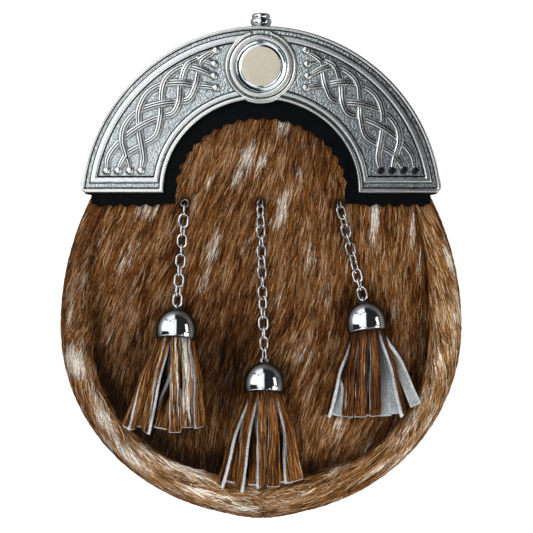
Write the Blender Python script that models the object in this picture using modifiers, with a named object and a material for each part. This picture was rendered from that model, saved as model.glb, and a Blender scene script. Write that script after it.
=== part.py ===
"""Sporran pouch of hair-on hide with a cast cantle and three chained tassels.

Metres. It lies on its back: +X to the right, +Y towards the knob at its top and
+Z out of its front. The origin is the bottom centre of the whole.
"""

import math
from collections import namedtuple

import bmesh
import bpy
import numpy as np
from mathutils import Matrix, Vector

MM = 0.001
GAP = 0.3 * MM  # between pieces that touch
HIDE = 2.0 * MM  # wall of the pouch

# Outlines seen from the front: half width, and drop below and rise above the widest line.
Egg = namedtuple("Egg", "half_width drop rise power")
WIDEST_Y = -29.0 * MM
POUCH = Egg(93.8 * MM, 88.2 * MM, 114.0 * MM, 2.0)
SEAM = Egg(79.0 * MM, 70.6 * MM, 125.0 * MM, 2.2)
BACK = Egg(85.8 * MM, 81.4 * MM, 174.0 * MM, 2.0)
RIM_FOOT = Egg(85.8 * MM, 81.4 * MM, 106.0 * MM, 2.0)  # where the rim meets the back
TIP_DROP = 1.2 * MM
TIP_HALF_WIDTH = 14.0 * MM
OUTLINE_STEPS = 36
GUSSET_END = math.radians(130)  # how far the rim runs round from the bottom tip

# Heights. Those of the belly change to those under the cantle over the lift's length.
LIFT_START_Y = -8.0 * MM
LIFT_END_Y = 22.0 * MM
FRONT_Z = 31.0 * MM
BELLY = 1.4 * MM
CREST_Z = 33.4 * MM
CREST_TOP_Z = 30.9 * MM
CREASE_Z = 28.8 * MM
CREASE_TOP_Z = 30.0 * MM
SEAM_SLOPE = 0.2  # share of the front panel that slopes down to its seam
BACK_START_Y = -12.0 * MM
BACK_END_Y = 58.0 * MM
BACK_RISE = 7.0 * MM
PANEL_RINGS = (0.12, 0.45, 0.8, 0.9, 1.0)

# The rim's section: towards the seam or the back, as shares of the way in, up and down.
Fold = namedtuple("Fold", "towards inward up fall")
RIM_SECTION = (
    Fold("back", 1.00, 0.00, 0.0),
    Fold("back", 0.20, 0.03, 0.0),
    Fold("back", 0.00, 0.28, 0.0),
    Fold("seam", 0.00, 0.58, 0.0),
    Fold("seam", 0.14, 0.86, 0.0),
    Fold("seam", 0.42, 1.00, 0.0),
    Fold("seam", 0.78, 0.98, 0.15),
    Fold("seam", 1.00, 1.00, 1.0),
)
RIM_FLANGE = 9.0 * MM  # what of the rim lies flat on the back panel

CANTLE_Y = 27.4 * MM
CANTLE_RADIUS = 84.4 * MM
FOOT_Y = 33.8 * MM
FOOT_CORNER = 3.0 * MM
ARCH_Y = 34.9 * MM
ARCH_HALF_WIDTH = 45.5 * MM
ARCH_HEIGHT = 42.7 * MM
ROUNDEL_Y = 92.9 * MM
LOBE_RADIUS = 17.4 * MM
CANTLE_STEPS = 26
BACKING_Z = FRONT_Z + GAP
BACKING_THICKNESS = 1.5 * MM
CANTLE_Z = BACKING_Z + BACKING_THICKNESS + GAP
GROUND_Z = CANTLE_Z + 2.0 * MM
BORDER_Z = GROUND_Z + 1.2 * MM
BAR_Z = GROUND_Z + 0.9 * MM
BORDER_WIDTH = 2.1 * MM
BAR_INSET = 4.3 * MM
BAR_WIDTH = 1.9 * MM
SUNK = 0.6 * MM  # how far raised work reaches into the plate
EDGE = 0.2 * MM  # small step round the cantle's edge
SKIRT_Z = CANTLE_Z - 8.0 * MM
SKIRT_WALL = 1.5 * MM

COLLAR_RADIUS = 16.4 * MM
COLLAR_WIDTH = 1.5 * MM
RING_RADIUS = 13.7 * MM
SEAT_RADIUS = 12.2 * MM
SEAT_DEPTH = 1.0 * MM

# Knotwork: the middle line of each strand of a plait, seen on the left, as its angle and
# radius (mm) about the cantle's centre, and whether it passes over (1) or under (-1) there.
Knot = namedtuple("Knot", "angle radius level")
OUTER_STRAND = (
    Knot(166.9, 73.9, 0), Knot(161.3, 74.6, 0), Knot(154.4, 71.9, -1), Knot(146.6, 67.8, 1),
    Knot(138.4, 62.8, -1), Knot(133.3, 59.8, 0), Knot(127.9, 62.1, 1), Knot(122.8, 68.7, -1),
    Knot(117.9, 74.1, 1), Knot(114.4, 74.8, 0), Knot(111.9, 74.2, -1), Knot(108.0, 69.9, 0),
)
SECOND_STRAND = (
    Knot(165.8, 68.8, 0), Knot(158.8, 66.9, 0), Knot(152.8, 62.5, -1), Knot(145.8, 59.1, 0),
    Knot(138.4, 62.4, 1), Knot(134.1, 66.7, -1), Knot(128.4, 73.0, 1), Knot(123.3, 74.9, 0),
    Knot(117.9, 74.1, -1), Knot(113.9, 70.5, 1), Knot(109.7, 64.7, 0),
)
THIRD_STRAND = (
    Knot(164.6, 63.5, 0), Knot(159.8, 66.8, 0), Knot(154.3, 71.8, 1), Knot(148.8, 73.8, 0),
    Knot(142.1, 72.4, -1), Knot(134.0, 66.8, 1), Knot(127.9, 62.1, -1), Knot(123.3, 60.5, 0),
    Knot(117.9, 64.4, 1), Knot(113.9, 70.5, -1), Knot(112.1, 73.9, 1), Knot(106.0, 75.8, 0),
)
INNER_STRAND = (
    Knot(163.2, 58.4, 0), Knot(157.8, 59.2, 0), Knot(152.8, 62.5, 1), Knot(146.6, 68.2, -1),
    Knot(141.3, 72.6, 1), Knot(134.8, 74.8, 0), Knot(128.4, 73.0, -1), Knot(122.7, 68.9, 1),
    Knot(117.9, 64.4, -1), Knot(113.8, 61.6, 0), Knot(110.7, 59.2, 0),
)
KNOTWORK = (OUTER_STRAND, SECOND_STRAND, THIRD_STRAND, INNER_STRAND)
STRAND_STEPS = 17
STRAND_WIDTH = 3.0 * MM
STRAND_HEIGHT = 1.0 * MM
STRAND_WEAVE = 0.3 * MM
PELLET_RADIUS = 1.6 * MM

BACKING_SHOW = 5.0 * MM  # what the pinked edge shows inside the arch and below the feet
BACKING_SHOW_TOP = 8.2 * MM
TOOTH_PITCH = 4.0 * MM
TOOTH_DEPTH = 1.1 * MM

KNOB_Z = CANTLE_Z - 4.0 * MM
KNOB_HEIGHT = 6.3 * MM
KNOB_RADIUS = 5.0 * MM
POST_RADIUS = 1.2 * MM
POST_LENGTH = 5.0 * MM

LOOP_X = 37.0 * MM
LOOP_Y = 72.0 * MM
LOOP_WIDTH = 20.0 * MM
SLOT_LENGTH = 23.0 * MM
TAB_LENGTH = 6.0 * MM

LINK_LENGTH = 7.1 * MM
LINK_WIDTH = 5.0 * MM
LINK_WIRE = 1.0 * MM
WIRE_SIDES = 5
BOW_STEPS = 4
EYE_RADIUS = 1.7 * MM  # to the middle of the wire of a pin's eye
HOOK_UP = 2.9 * MM  # a chain's height above the hide where it hooks on its pin
PIN_HOLE = 2.6 * MM
WASHER_RADIUS = 3.6 * MM
WASHER_THICKNESS = 0.8 * MM

BELL_RADIUS = 9.5 * MM
BELL_HEIGHT = 14.5 * MM
BELL_WALL = 1.0 * MM
BELL_SHOULDER = 4.5 * MM  # height of its straight part
BELL_TILT = math.radians(14)
BELL_RING = 1.5 * MM
BELL_HOOK = 2.3 * MM  # from the chain's end to the dome
HEAD_RADIUS = 7.8 * MM
HEAD_DEPTH = 4.2 * MM
STRIP_THICKNESS = 1.4 * MM
STRIP_ROOT = 3.2 * MM
STRIP_STEPS = 4
STRIP_RING = 5.4 * MM  # of the strips' roots, about the bell's axis
RIM_NEAR = 0.93  # share of the way to the seam from which a strip clears the rim

# Where a chain hooks on its pin and on its bell, its links, and how the bell turns from -Y.
Tassel = namedtuple("Tassel", "name pin_x pin_y loop_x loop_y lean turns")
TASSELS = (
    Tassel("left", -35.6, 29.1, -38.9, -18.0, -2.0, (90, 0, 70, -5, 90, 5, 72, 0, 65, -15)),
    Tassel(
        "centre", -0.4, 28.8, 1.6, -42.9, 0.0,
        (50, -40, 30, -70, 25, -48, 28, -80, 22, -40, 70, 0, 100, 35, 110),
    ),
    Tassel("right", 36.7, 28.1, 47.5, -14.9, 7.0, (30, -60, 15, 90, 12, -58, 52, -20, 72, -15)),
)

# Strips: place round the bell from its top, end across and along in mm from the bell's
# mouth, end height over the hide, width there, and the turn of the hair side from upwards.
Strip = namedtuple("Strip", "place across along up width turn")
STRIPS = {
    "left": (
        Strip(-100, -23.4, 40.8, 2.6, 4.6, -50),
        Strip(-66, -20.6, 41.8, 3.6, 4.8, 62),
        Strip(-140, -17.6, 40.4, 2.2, 5.0, 25),
        Strip(-32, -14.4, 42.8, 4.6, 5.6, -8),
        Strip(180, -7.4, 41.3, 1.5, 6.2, 0),
        Strip(2, -0.6, 43.0, 4.4, 5.8, 6),
        Strip(36, 5.2, 40.8, 3.6, 5.2, 4),
        Strip(142, 4.4, 40.0, 1.4, 5.4, 0),
        Strip(78, 11.0, 40.8, 2.4, 5.4, 20),
    ),
    "centre": (
        Strip(-78, -20.6, 43.1, 3.4, 5.4, -68),
        Strip(-112, -16.4, 41.2, 1.6, 5.6, -10),
        Strip(-40, -11.8, 45.0, 4.2, 5.6, -60),
        Strip(-160, -4.6, 42.8, 1.4, 6.0, 0),
        Strip(-6, -1.4, 43.6, 3.8, 4.8, 55),
        Strip(28, 4.2, 43.4, 4.4, 6.2, 4),
        Strip(150, 8.6, 41.4, 1.4, 5.6, 0),
        Strip(62, 15.2, 40.6, 3.6, 6.0, 12),
        Strip(104, 11.6, 41.6, 2.2, 4.8, 48),
    ),
    "right": (
        Strip(-84, -18.6, 38.4, 2.8, 5.0, -66),
        Strip(-118, -14.2, 38.2, 1.6, 6.0, 172),
        Strip(-48, -9.2, 39.0, 4.0, 5.0, -8),
        Strip(-14, -3.2, 39.0, 4.8, 5.8, 4),
        Strip(172, 1.2, 38.2, 1.4, 5.4, 40),
        Strip(22, 3.8, 38.6, 4.6, 5.4, 10),
        Strip(132, 8.6, 38.4, 1.6, 5.6, 178),
        Strip(98, 13.4, 37.2, 2.4, 5.2, 165),
        Strip(58, 16.8, 38.2, 3.8, 4.8, 70),
        Strip(78, 22.2, 33.4, 2.8, 5.2, 190),
    ),
}

# Base colour, metallic and roughness of each finish.
FINISHES = {
    "brown_hide": ((0.21, 0.09, 0.035), 0.0, 0.75),
    "black_leather": ((0.012, 0.012, 0.013), 0.0, 0.5),
    "cast_pewter": ((0.55, 0.56, 0.57), 1.0, 0.38),
    "polished_steel": ((0.66, 0.64, 0.6), 1.0, 0.22),
    "chrome": ((0.72, 0.73, 0.75), 1.0, 0.06),
}


def start():
    """An empty scene with one collection for the pieces and one for what shapes them."""
    for old in list(bpy.data.objects):
        bpy.data.objects.remove(old)
    pieces = bpy.data.collections.new("sporran_pouch")
    shapers = bpy.data.collections.new("cutters")
    for collection in (pieces, shapers):
        bpy.context.scene.collection.children.link(collection)
    shapers.hide_render = True
    return pieces, shapers


PIECES, SHAPERS = start()


def finish(name):
    """The material of a finish, made at its first use."""
    if name not in bpy.data.materials:
        color, metallic, roughness = FINISHES[name]
        made = bpy.data.materials.new(name)
        made.use_nodes = True
        shader = made.node_tree.nodes["Principled BSDF"]
        shader.inputs["Base Color"].default_value = (*color, 1.0)
        shader.inputs["Metallic"].default_value = metallic
        shader.inputs["Roughness"].default_value = roughness
    return bpy.data.materials[name]


def piece(obj, name, look):
    """Keeps the object as a named piece of the sporran."""
    obj.name = obj.data.name = name
    obj.data.materials.clear()
    obj.data.materials.append(finish(look))
    for collection in list(obj.users_collection):
        collection.objects.unlink(obj)
    PIECES.objects.link(obj)
    return obj


def shaper(obj):
    """Keeps the object only as what joins or cuts another."""
    obj.hide_render = True
    obj.display_type = "WIRE"
    return obj


def new_object(data):
    obj = bpy.data.objects.new("shape", data)
    SHAPERS.objects.link(obj)
    return obj


def meshed(obj):
    """The object as a mesh with its caps welded on and its faces pointing out."""
    bpy.context.view_layer.update()
    graph = bpy.context.evaluated_depsgraph_get()
    mesh = bpy.data.meshes.new_from_object(obj.evaluated_get(graph))
    solid = bmesh.new()
    solid.from_mesh(mesh)
    bmesh.ops.remove_doubles(solid, verts=solid.verts, dist=0.001 * MM)
    bmesh.ops.recalc_face_normals(solid, faces=solid.faces)
    solid.to_mesh(mesh)
    solid.free()
    made = new_object(mesh)
    made.matrix_world = obj.matrix_world.copy()
    bpy.data.objects.remove(obj)
    return made


def add_spline(curve, points, cyclic):
    spline = curve.splines.new("POLY")
    spline.points.add(len(points) - 1)
    for point, place in zip(spline.points, points):
        point.co = (*place, *(0.0,) * (3 - len(place)), 1.0)
    spline.use_cyclic_u = cyclic


def slab(outlines, bottom, top):
    """A flat plate between two heights. Outlines after the first are holes in it."""
    curve = bpy.data.curves.new("slab", "CURVE")
    curve.dimensions = "2D"
    curve.fill_mode = "BOTH"
    curve.extrude = (top - bottom) / 2
    for outline in outlines:
        add_spline(curve, outline, True)
    obj = new_object(curve)
    obj.location.z = (top + bottom) / 2
    return meshed(obj)


def swept(points, section, cyclic):
    """A bar with the section's flat outline, carried along points."""
    guide_curve = bpy.data.curves.new("section", "CURVE")
    guide_curve.dimensions = "2D"
    add_spline(guide_curve, section, True)
    guide = shaper(new_object(guide_curve))
    curve = bpy.data.curves.new("sweep", "CURVE")
    curve.dimensions = "3D"
    curve.twist_mode = "Z_UP"
    curve.bevel_mode = "OBJECT"
    curve.bevel_object = guide
    curve.use_fill_caps = not cyclic
    add_spline(curve, points, cyclic)
    made = meshed(new_object(curve))
    bpy.data.objects.remove(guide)
    return made


def lofted(rows, closed_rows=False, first_cap=False, last_cap=False):
    """A skin through rows of points, with each row's ends joined and its ends capped on demand."""
    rows = np.asarray(rows)
    count, width = rows.shape[:2]
    loft = bmesh.new()
    corners = [[loft.verts.new(point) for point in row] for row in rows]
    for low, high in zip(corners, corners[1:]):
        for j in range(width if closed_rows else width - 1):
            k = (j + 1) % width
            loft.faces.new((low[j], low[k], high[k], high[j]))
    if first_cap:
        loft.faces.new(corners[0][::-1])
    if last_cap:
        loft.faces.new(corners[count - 1])
    mesh = bpy.data.meshes.new("loft")
    loft.to_mesh(mesh)
    loft.free()
    return new_object(mesh)


def solidify(obj, thickness):
    """Gives an open skin its wall, on the side that its faces turn away from."""
    wall = obj.modifiers.new("wall", "SOLIDIFY")
    wall.thickness = thickness
    wall.offset = -1.0
    return obj


def turned(profile, steps):
    """A solid turned about Z. The profile runs down its outer side from the axis to the axis."""
    mesh = bpy.data.meshes.new("profile")
    points = [(radius, 0.0, height) for radius, height in profile]
    edges = [(i, i + 1) for i in range(len(points) - 1)]
    mesh.from_pydata(points, edges, [])
    obj = new_object(mesh)
    screw = obj.modifiers.new("turn", "SCREW")
    screw.steps = screw.render_steps = steps
    screw.use_merge_vertices = True
    screw.merge_threshold = 0.001 * MM
    return meshed(obj)


def cylinder(radius, bottom, top, sides):
    """An upright cylinder on the Z axis between two heights."""
    rod = bmesh.new()
    bmesh.ops.create_cone(
        rod, cap_ends=True, segments=sides, radius1=radius, radius2=radius, depth=top - bottom
    )
    bmesh.ops.translate(rod, verts=rod.verts, vec=(0.0, 0.0, (top + bottom) / 2))
    mesh = bpy.data.meshes.new("rod")
    rod.to_mesh(mesh)
    rod.free()
    return new_object(mesh)


def ring(radius, width, bottom, top, sides):
    """A flat ring about the Z axis, width wide inside its outer radius."""
    profile = [(radius - width, bottom), (radius - width, top), (radius, top), (radius, bottom)]
    mesh = bpy.data.meshes.new("profile")
    points = [(r, 0.0, z) for r, z in profile]
    mesh.from_pydata(points, [(0, 1), (1, 2), (2, 3), (3, 0)], [])
    obj = new_object(mesh)
    screw = obj.modifiers.new("turn", "SCREW")
    screw.steps = screw.render_steps = sides
    screw.use_merge_vertices = True
    screw.merge_threshold = 0.001 * MM
    return meshed(obj)


def boolean(body, operation, others, solver="EXACT"):
    """Joins the others to the body one by one, or cuts them from it, and returns the new solid."""
    for other in others:
        modifier = body.modifiers.new("boolean", "BOOLEAN")
        modifier.operation = operation
        modifier.solver = solver
        modifier.object = other
        body = meshed(body)
        bpy.data.objects.remove(other)
    return body


def place(obj, matrix):
    """Moves the object's mesh itself, so that its origin stays the sporran's."""
    obj.data.transform(matrix)
    return obj


def frame_at(origin, along, turn):
    """Matrix whose X axis runs along, and whose Z axis is turned about it from upwards."""
    along = Vector(along).normalized()
    side = Vector((0.0, 0.0, 1.0)).cross(along).normalized()
    up = along.cross(side)
    normal = up * math.cos(turn) + side * math.sin(turn)
    axes = (along, normal.cross(along), normal)
    matrix = Matrix([[axis[i] for axis in axes] + [origin[i]] for i in range(3)] + [[0, 0, 0, 1]])
    return matrix


def ease(share):
    share = np.clip(share, 0.0, 1.0)
    return share * share * (3.0 - 2.0 * share)


def egg_outline(egg, angles):
    """Points of an egg outline. Angle 0 is its lowest point, and angles grow towards +X."""
    across = np.sign(np.sin(angles)) * np.abs(np.sin(angles)) ** (2 / egg.power)
    along = np.abs(np.cos(angles)) ** (2 / egg.power)
    reach = np.where(np.cos(angles) > 0, -egg.drop, egg.rise)
    return np.stack([egg.half_width * across, WIDEST_Y + reach * along], axis=-1)


def pouch_outline(angles):
    """The rim's outermost line, with the small point at its bottom seam."""
    points = egg_outline(POUCH, angles)
    below = np.cos(angles) > 0
    tip = TIP_DROP * np.exp(-((points[:, 0] / TIP_HALF_WIDTH) ** 2))
    points[:, 1] -= np.where(below, tip, 0.0)
    return points


def lift(y):
    """0 over the belly and 1 under the cantle."""
    return ease((y - LIFT_START_Y) / (LIFT_END_Y - LIFT_START_Y))


def crest_level(y):
    return CREST_Z + (CREST_TOP_Z - CREST_Z) * lift(y)


def crease_level(y):
    return CREASE_Z + (CREASE_TOP_Z - CREASE_Z) * lift(y)


def back_level(y):
    """Underside of the back panel, which rises where the strap loops are."""
    return BACK_RISE * ease((y - BACK_START_Y) / (BACK_END_Y - BACK_START_Y))


def seam_share(x, y):
    """0 at the middle of the front and 1 at its seam."""
    reach = np.where(y < WIDEST_Y, SEAM.drop, SEAM.rise)
    out = np.abs(x) / SEAM.half_width, np.abs(y - WIDEST_Y) / reach
    return (out[0] ** SEAM.power + out[1] ** SEAM.power) ** (1 / SEAM.power)


def front_level(x, y):
    """Top of the front panel's hide: level inside, sloping down to its seam."""
    share = seam_share(x, y)
    level = FRONT_Z + BELLY * (1.0 - lift(y)) * (1.0 - np.minimum(share, 1.0) ** 2)
    return crease_level(y) + (level - crease_level(y)) * ease((1.0 - share) / SEAM_SLOPE)


def make_front_panel():
    angles = np.radians(180.0 - np.arange(OUTLINE_STEPS) * 360.0 / OUTLINE_STEPS)
    outline = egg_outline(SEAM, angles)
    middle = np.array([0.0, WIDEST_Y])
    inward = outline - middle
    trimmed = inward * (1.0 - GAP / np.linalg.norm(inward, axis=1, keepdims=True))
    rows = []
    for share in PANEL_RINGS:
        x, y = (middle + share * trimmed).T
        rows.append(np.stack([x, y, front_level(x, y)], axis=-1))
    panel = meshed(solidify(lofted(rows, closed_rows=True, first_cap=True), HIDE))
    holes = []
    for tassel in TASSELS:
        hole = cylinder(PIN_HOLE, FRONT_Z - 3 * HIDE, FRONT_Z + 3 * HIDE, 12)
        holes.append(place(hole, Matrix.Translation((tassel.pin_x * MM, tassel.pin_y * MM, 0.0))))
    piece(boolean(panel, "DIFFERENCE", holes), "front_panel", "brown_hide")


def make_gusset():
    step = 2 * math.pi / OUTLINE_STEPS
    count = int(round(GUSSET_END / step))
    angles = np.arange(-count, count + 1) * step
    rim = pouch_outline(angles)
    seam = egg_outline(SEAM, angles)
    back = egg_outline(RIM_FOOT, angles)
    middle = np.array([0.0, WIDEST_Y])
    inward = middle - back
    flange = back + inward * RIM_FLANGE / np.linalg.norm(inward, axis=1, keepdims=True)
    ends = {"back": flange, "seam": seam}
    rows = []
    for fold in RIM_SECTION:
        points = rim + (ends[fold.towards] - rim) * fold.inward
        y = points[:, 1]
        low = back_level(y) + HIDE + GAP
        high = low + fold.up * (crest_level(y) - low)
        level = high - fold.fall * (crest_level(y) - crease_level(y))
        rows.append(np.column_stack([points, level]))
    piece(meshed(solidify(lofted(rows), HIDE)), "gusset", "brown_hide")


def back_half_width(y):
    """Half width of the back panel: an egg below, and the cantle's arc above."""
    reach = np.where(y < WIDEST_Y, BACK.drop, BACK.rise)
    egg = BACK.half_width * np.sqrt(np.maximum(1.0 - ((y - WIDEST_Y) / reach) ** 2, 0.0))
    radius = CANTLE_RADIUS - SKIRT_WALL - 2 * HIDE
    arc = np.sqrt(np.maximum(radius**2 - (y - CANTLE_Y) ** 2, 0.0))
    return np.where(y > CANTLE_Y, np.minimum(egg, arc), egg)


def make_back_panel():
    radius = CANTLE_RADIUS - SKIRT_WALL - 2 * HIDE
    bottom = WIDEST_Y - BACK.drop * np.cos(np.radians(np.arange(6.0, 80.0, 12.0)))
    middle = np.linspace(WIDEST_Y, BACK_START_Y, 3)
    slope = np.linspace(BACK_START_Y, BACK_END_Y, 6)[1:]
    top = CANTLE_Y + radius * np.sin(np.radians((20.0, 34.0, 48.0, 62.0, 74.0, 84.0)))
    y = np.concatenate([bottom, middle, slope, top])
    across = np.linspace(1.0, -1.0, 5)
    rows = [
        [(share * back_half_width(row), row, back_level(row)) for share in across] for row in y
    ]
    piece(meshed(solidify(lofted(rows), HIDE)), "back_panel", "black_leather")


def cantle_outer(inset, steps=CANTLE_STEPS):
    """The cantle's outer arc, from the left foot to the right one."""
    radius = CANTLE_RADIUS - inset
    corner = max(FOOT_CORNER - inset, 0.5 * MM)
    start = math.asin((FOOT_Y + inset + corner - CANTLE_Y) / radius)
    angles = np.linspace(math.pi - start, start, steps + 1)
    arc = np.stack([radius * np.cos(angles), CANTLE_Y + radius * np.sin(angles)], axis=-1)
    foot = math.sqrt(radius**2 - (FOOT_Y + inset - CANTLE_Y) ** 2) - corner
    ends = np.array([[-foot, FOOT_Y + inset]]), np.array([[foot, FOOT_Y + inset]])
    return np.concatenate([ends[0], arc, ends[1]])


def cantle_inner(inset, steps=CANTLE_STEPS):
    """The arch and the roundel's lobe in it, from the right foot to the left one."""
    angles = np.linspace(0.0, math.pi, steps + 1)
    x = (ARCH_HALF_WIDTH + inset) * np.cos(angles)
    y = ARCH_Y + inset / 2 + (ARCH_HEIGHT + inset / 2) * np.sin(angles)
    lobe = np.maximum((LOBE_RADIUS - inset) ** 2 - x**2, 0.0)
    y = np.where(lobe > 0.0, np.minimum(y, ROUNDEL_Y - np.sqrt(lobe)), y)
    feet = np.array([[x[0], FOOT_Y + inset]]), np.array([[x[-1], FOOT_Y + inset]])
    return np.concatenate([feet[0], np.column_stack([x, y]), feet[1]])


def cantle_outline(inset):
    return np.concatenate([cantle_outer(inset), cantle_inner(inset)])


def strand_points(strand, side):
    """A smooth line through a strand's knots (Catmull-Rom), on the left (-1) or right (1)."""
    rows = np.array(strand, float)
    rows = np.concatenate([2 * rows[:1] - rows[1:2], rows, 2 * rows[-1:] - rows[-2:-1]])
    share = np.linspace(0.0, len(strand) - 1.0, STRAND_STEPS + 1)
    first = np.minimum(share.astype(int), len(strand) - 2)
    t = (share - first)[:, None]
    before, start, end, after = (rows[first + i] for i in range(4))
    bend = 2 * before - 5 * start + 4 * end - after
    twist = 3 * (start - end) + after - before
    knots = start + 0.5 * t * ((end - before) + t * (bend + t * twist))
    angle, radius = np.radians(knots[:, 0]), knots[:, 1] * MM
    x = -side * radius * np.cos(angle)
    level = GROUND_Z + STRAND_WEAVE * knots[:, 2]
    return np.column_stack([x, CANTLE_Y + radius * np.sin(angle), level])


def make_cantle():
    roundel = Matrix.Translation((0.0, ROUNDEL_Y, 0.0))
    plate = slab([cantle_outline(0.0)], CANTLE_Z, GROUND_Z)
    border = slab([cantle_outline(EDGE), cantle_outline(BORDER_WIDTH)], GROUND_Z - SUNK, BORDER_Z)
    lines = [cantle_outline(inset) for inset in (BAR_INSET, BAR_INSET + BAR_WIDTH)]
    room = cylinder(COLLAR_RADIUS - COLLAR_WIDTH / 2, CANTLE_Z, CANTLE_Z + SKIRT_WALL * 3, 28)
    bar = boolean(slab(lines, GROUND_Z - SUNK, BAR_Z), "DIFFERENCE", [place(room, roundel)])
    skirt_outline = [*cantle_outer(EDGE)[1:-1], *cantle_outer(SKIRT_WALL)[-2:0:-1]]
    skirt = slab([skirt_outline], SKIRT_Z, CANTLE_Z + SUNK)
    collar = ring(COLLAR_RADIUS, COLLAR_WIDTH, GROUND_Z - SUNK, BORDER_Z + EDGE, 28)
    seat = ring(RING_RADIUS, RING_RADIUS - SEAT_RADIUS, GROUND_Z - SUNK, BORDER_Z + 2 * EDGE, 28)
    work = [border, bar, skirt, place(collar, roundel), place(seat, roundel)]
    half, top = STRAND_WIDTH / 2, STRAND_HEIGHT - 0.2 * MM
    section = [(-half, -SUNK), (half, -SUNK), (0.6 * half, top), (-0.6 * half, top)]
    for side in (-1, 1):
        for strand in KNOTWORK:
            points = strand_points(strand, side)
            work.append(swept(points, section, False))
            for end in (points[0], points[-1]):
                pellet = cylinder(PELLET_RADIUS, GROUND_Z - SUNK, BORDER_Z, 7)
                work.append(place(pellet, Matrix.Translation((end[0], end[1], 0.0))))
    cast = boolean(plate, "UNION", work, "MANIFOLD")
    well = cylinder(SEAT_RADIUS, GROUND_Z - SEAT_DEPTH, BORDER_Z + SUNK, 28)
    bore = cylinder(POST_RADIUS + GAP, -3 * SKIRT_WALL, 3 * SKIRT_WALL, 12)
    place(bore, knob_matrix())
    cut = boolean(cast, "DIFFERENCE", [place(well, roundel), bore], "MANIFOLD")
    piece(cut, "cantle", "cast_pewter")


def knob_matrix():
    """Stands a turned piece out of the top of the cantle's skirt."""
    foot = (0.0, CANTLE_Y + CANTLE_RADIUS + GAP, KNOB_Z)
    return Matrix.Translation(foot) @ Matrix.Rotation(-math.pi / 2, 4, "X")


def make_knob():
    profile = (
        (0.0, KNOB_HEIGHT),
        (0.62 * KNOB_RADIUS, KNOB_HEIGHT),
        (0.8 * KNOB_RADIUS, 0.9 * KNOB_HEIGHT),
        (0.82 * KNOB_RADIUS, 0.72 * KNOB_HEIGHT),
        (KNOB_RADIUS, 0.52 * KNOB_HEIGHT),
        (KNOB_RADIUS, 0.24 * KNOB_HEIGHT),
        (0.86 * KNOB_RADIUS, 0.0),
        (POST_RADIUS, 0.0),
        (POST_RADIUS, -POST_LENGTH),
        (0.0, -POST_LENGTH),
    )
    piece(place(turned(profile, 12), knob_matrix()), "knob", "chrome")


def make_medallion():
    floor = GROUND_Z - SEAT_DEPTH + GAP
    radius = SEAT_RADIUS - GAP
    face = GROUND_Z + 0.5 * MM
    profile = (
        (0.0, face),
        (9.6 * MM, face),
        (10.1 * MM, face - 0.5 * MM),
        (10.9 * MM, face - 0.3 * MM),
        (radius, BORDER_Z + 0.2 * MM),
        (radius, floor),
        (0.0, floor),
    )
    placed = place(turned(profile, 24), Matrix.Translation((0.0, ROUNDEL_Y, 0.0)))
    piece(placed, "medallion", "polished_steel")


def pinked(start, end, inward):
    """Teeth of a pinked edge from start to end, whose points reach inward from the line."""
    start, end = np.asarray(start), np.asarray(end)
    teeth = max(1, round(float(np.linalg.norm(end - start)) / TOOTH_PITCH))
    line = [start + (end - start) * step / (2 * teeth) for step in range(2 * teeth)]
    return [point + (inward if i % 2 else 0.0) for i, point in enumerate(line)]


def make_backing():
    """The leather under the cantle, with its pinked edge inside the arch and below the feet."""
    outer = cantle_outer(SKIRT_WALL + GAP, 24)[1:-1]
    low = FOOT_Y - BACKING_SHOW
    half_width = ARCH_HALF_WIDTH - BACKING_SHOW
    height = ARCH_HEIGHT - BACKING_SHOW_TOP
    teeth = round(math.pi * (half_width + height) / 2 / TOOTH_PITCH)
    angles = np.linspace(0.0, math.pi, 2 * teeth + 1)
    depth = np.where(np.arange(2 * teeth + 1) % 2, -TOOTH_DEPTH, 0.0)
    arch = [
        ((half_width + d) * math.cos(a), ARCH_Y + (height + d) * math.sin(a))
        for a, d in zip(angles, depth)
    ]
    down = np.array([0.0, -TOOTH_DEPTH])
    right = pinked((outer[-1][0] - 1.5 * MM, low), (half_width + 1.5 * MM, low), down)
    left = pinked((-half_width - 1.5 * MM, low), (-outer[-1][0] + 1.5 * MM, low), down)
    outline = np.concatenate([outer, right, arch, left])
    backing = slab([outline], BACKING_Z, BACKING_Z + BACKING_THICKNESS)
    piece(backing, "cantle_backing", "black_leather")


def make_strap_loops():
    """Leather loops on the back that the strap runs through from side to side."""
    top = BACK_RISE - GAP - HIDE
    half = SLOT_LENGTH / 2 + HIDE
    bend = 1.0 * MM
    run = [(-half - TAB_LENGTH, top), (-half - bend, top), (-half, top - bend)]
    run += [(-half + 0.4 * bend, bend), (-half + 1.6 * bend, 0.0)]
    path = run + [(-y, z) for y, z in reversed(run)]
    for side, name in ((-1, "left_strap_loop"), (1, "right_strap_loop")):
        rows = [
            [(side * LOOP_X + across * LOOP_WIDTH / 2, LOOP_Y + y, z) for across in (1, -1)]
            for y, z in path
        ]
        piece(meshed(solidify(lofted(rows), HIDE)), name, "black_leather")


def wire_section():
    turns = (2 * math.pi * side / WIRE_SIDES for side in range(WIRE_SIDES))
    return [(LINK_WIRE / 2 * math.cos(turn), LINK_WIRE / 2 * math.sin(turn)) for turn in turns]


def oval(length, width):
    """Middle line of an oval wire link about the origin, its length along X."""
    radius = (width - LINK_WIRE) / 2
    straight = (length - width) / 2
    angles = np.linspace(-math.pi / 2, math.pi / 2, BOW_STEPS + 1)
    bow = [(straight + radius * math.cos(a), radius * math.sin(a), 0.0) for a in angles]
    if straight < 0.1 * MM:
        bow = bow[1:]
    return bow + [(-x, -y, z) for x, y, z in bow]


def wire_oval(length, width):
    return swept(oval(length, width), wire_section(), True)


def reach():
    """From the wire that a link hooks on to the link's middle."""
    return LINK_LENGTH / 2 - 1.5 * LINK_WIRE - GAP


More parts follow.
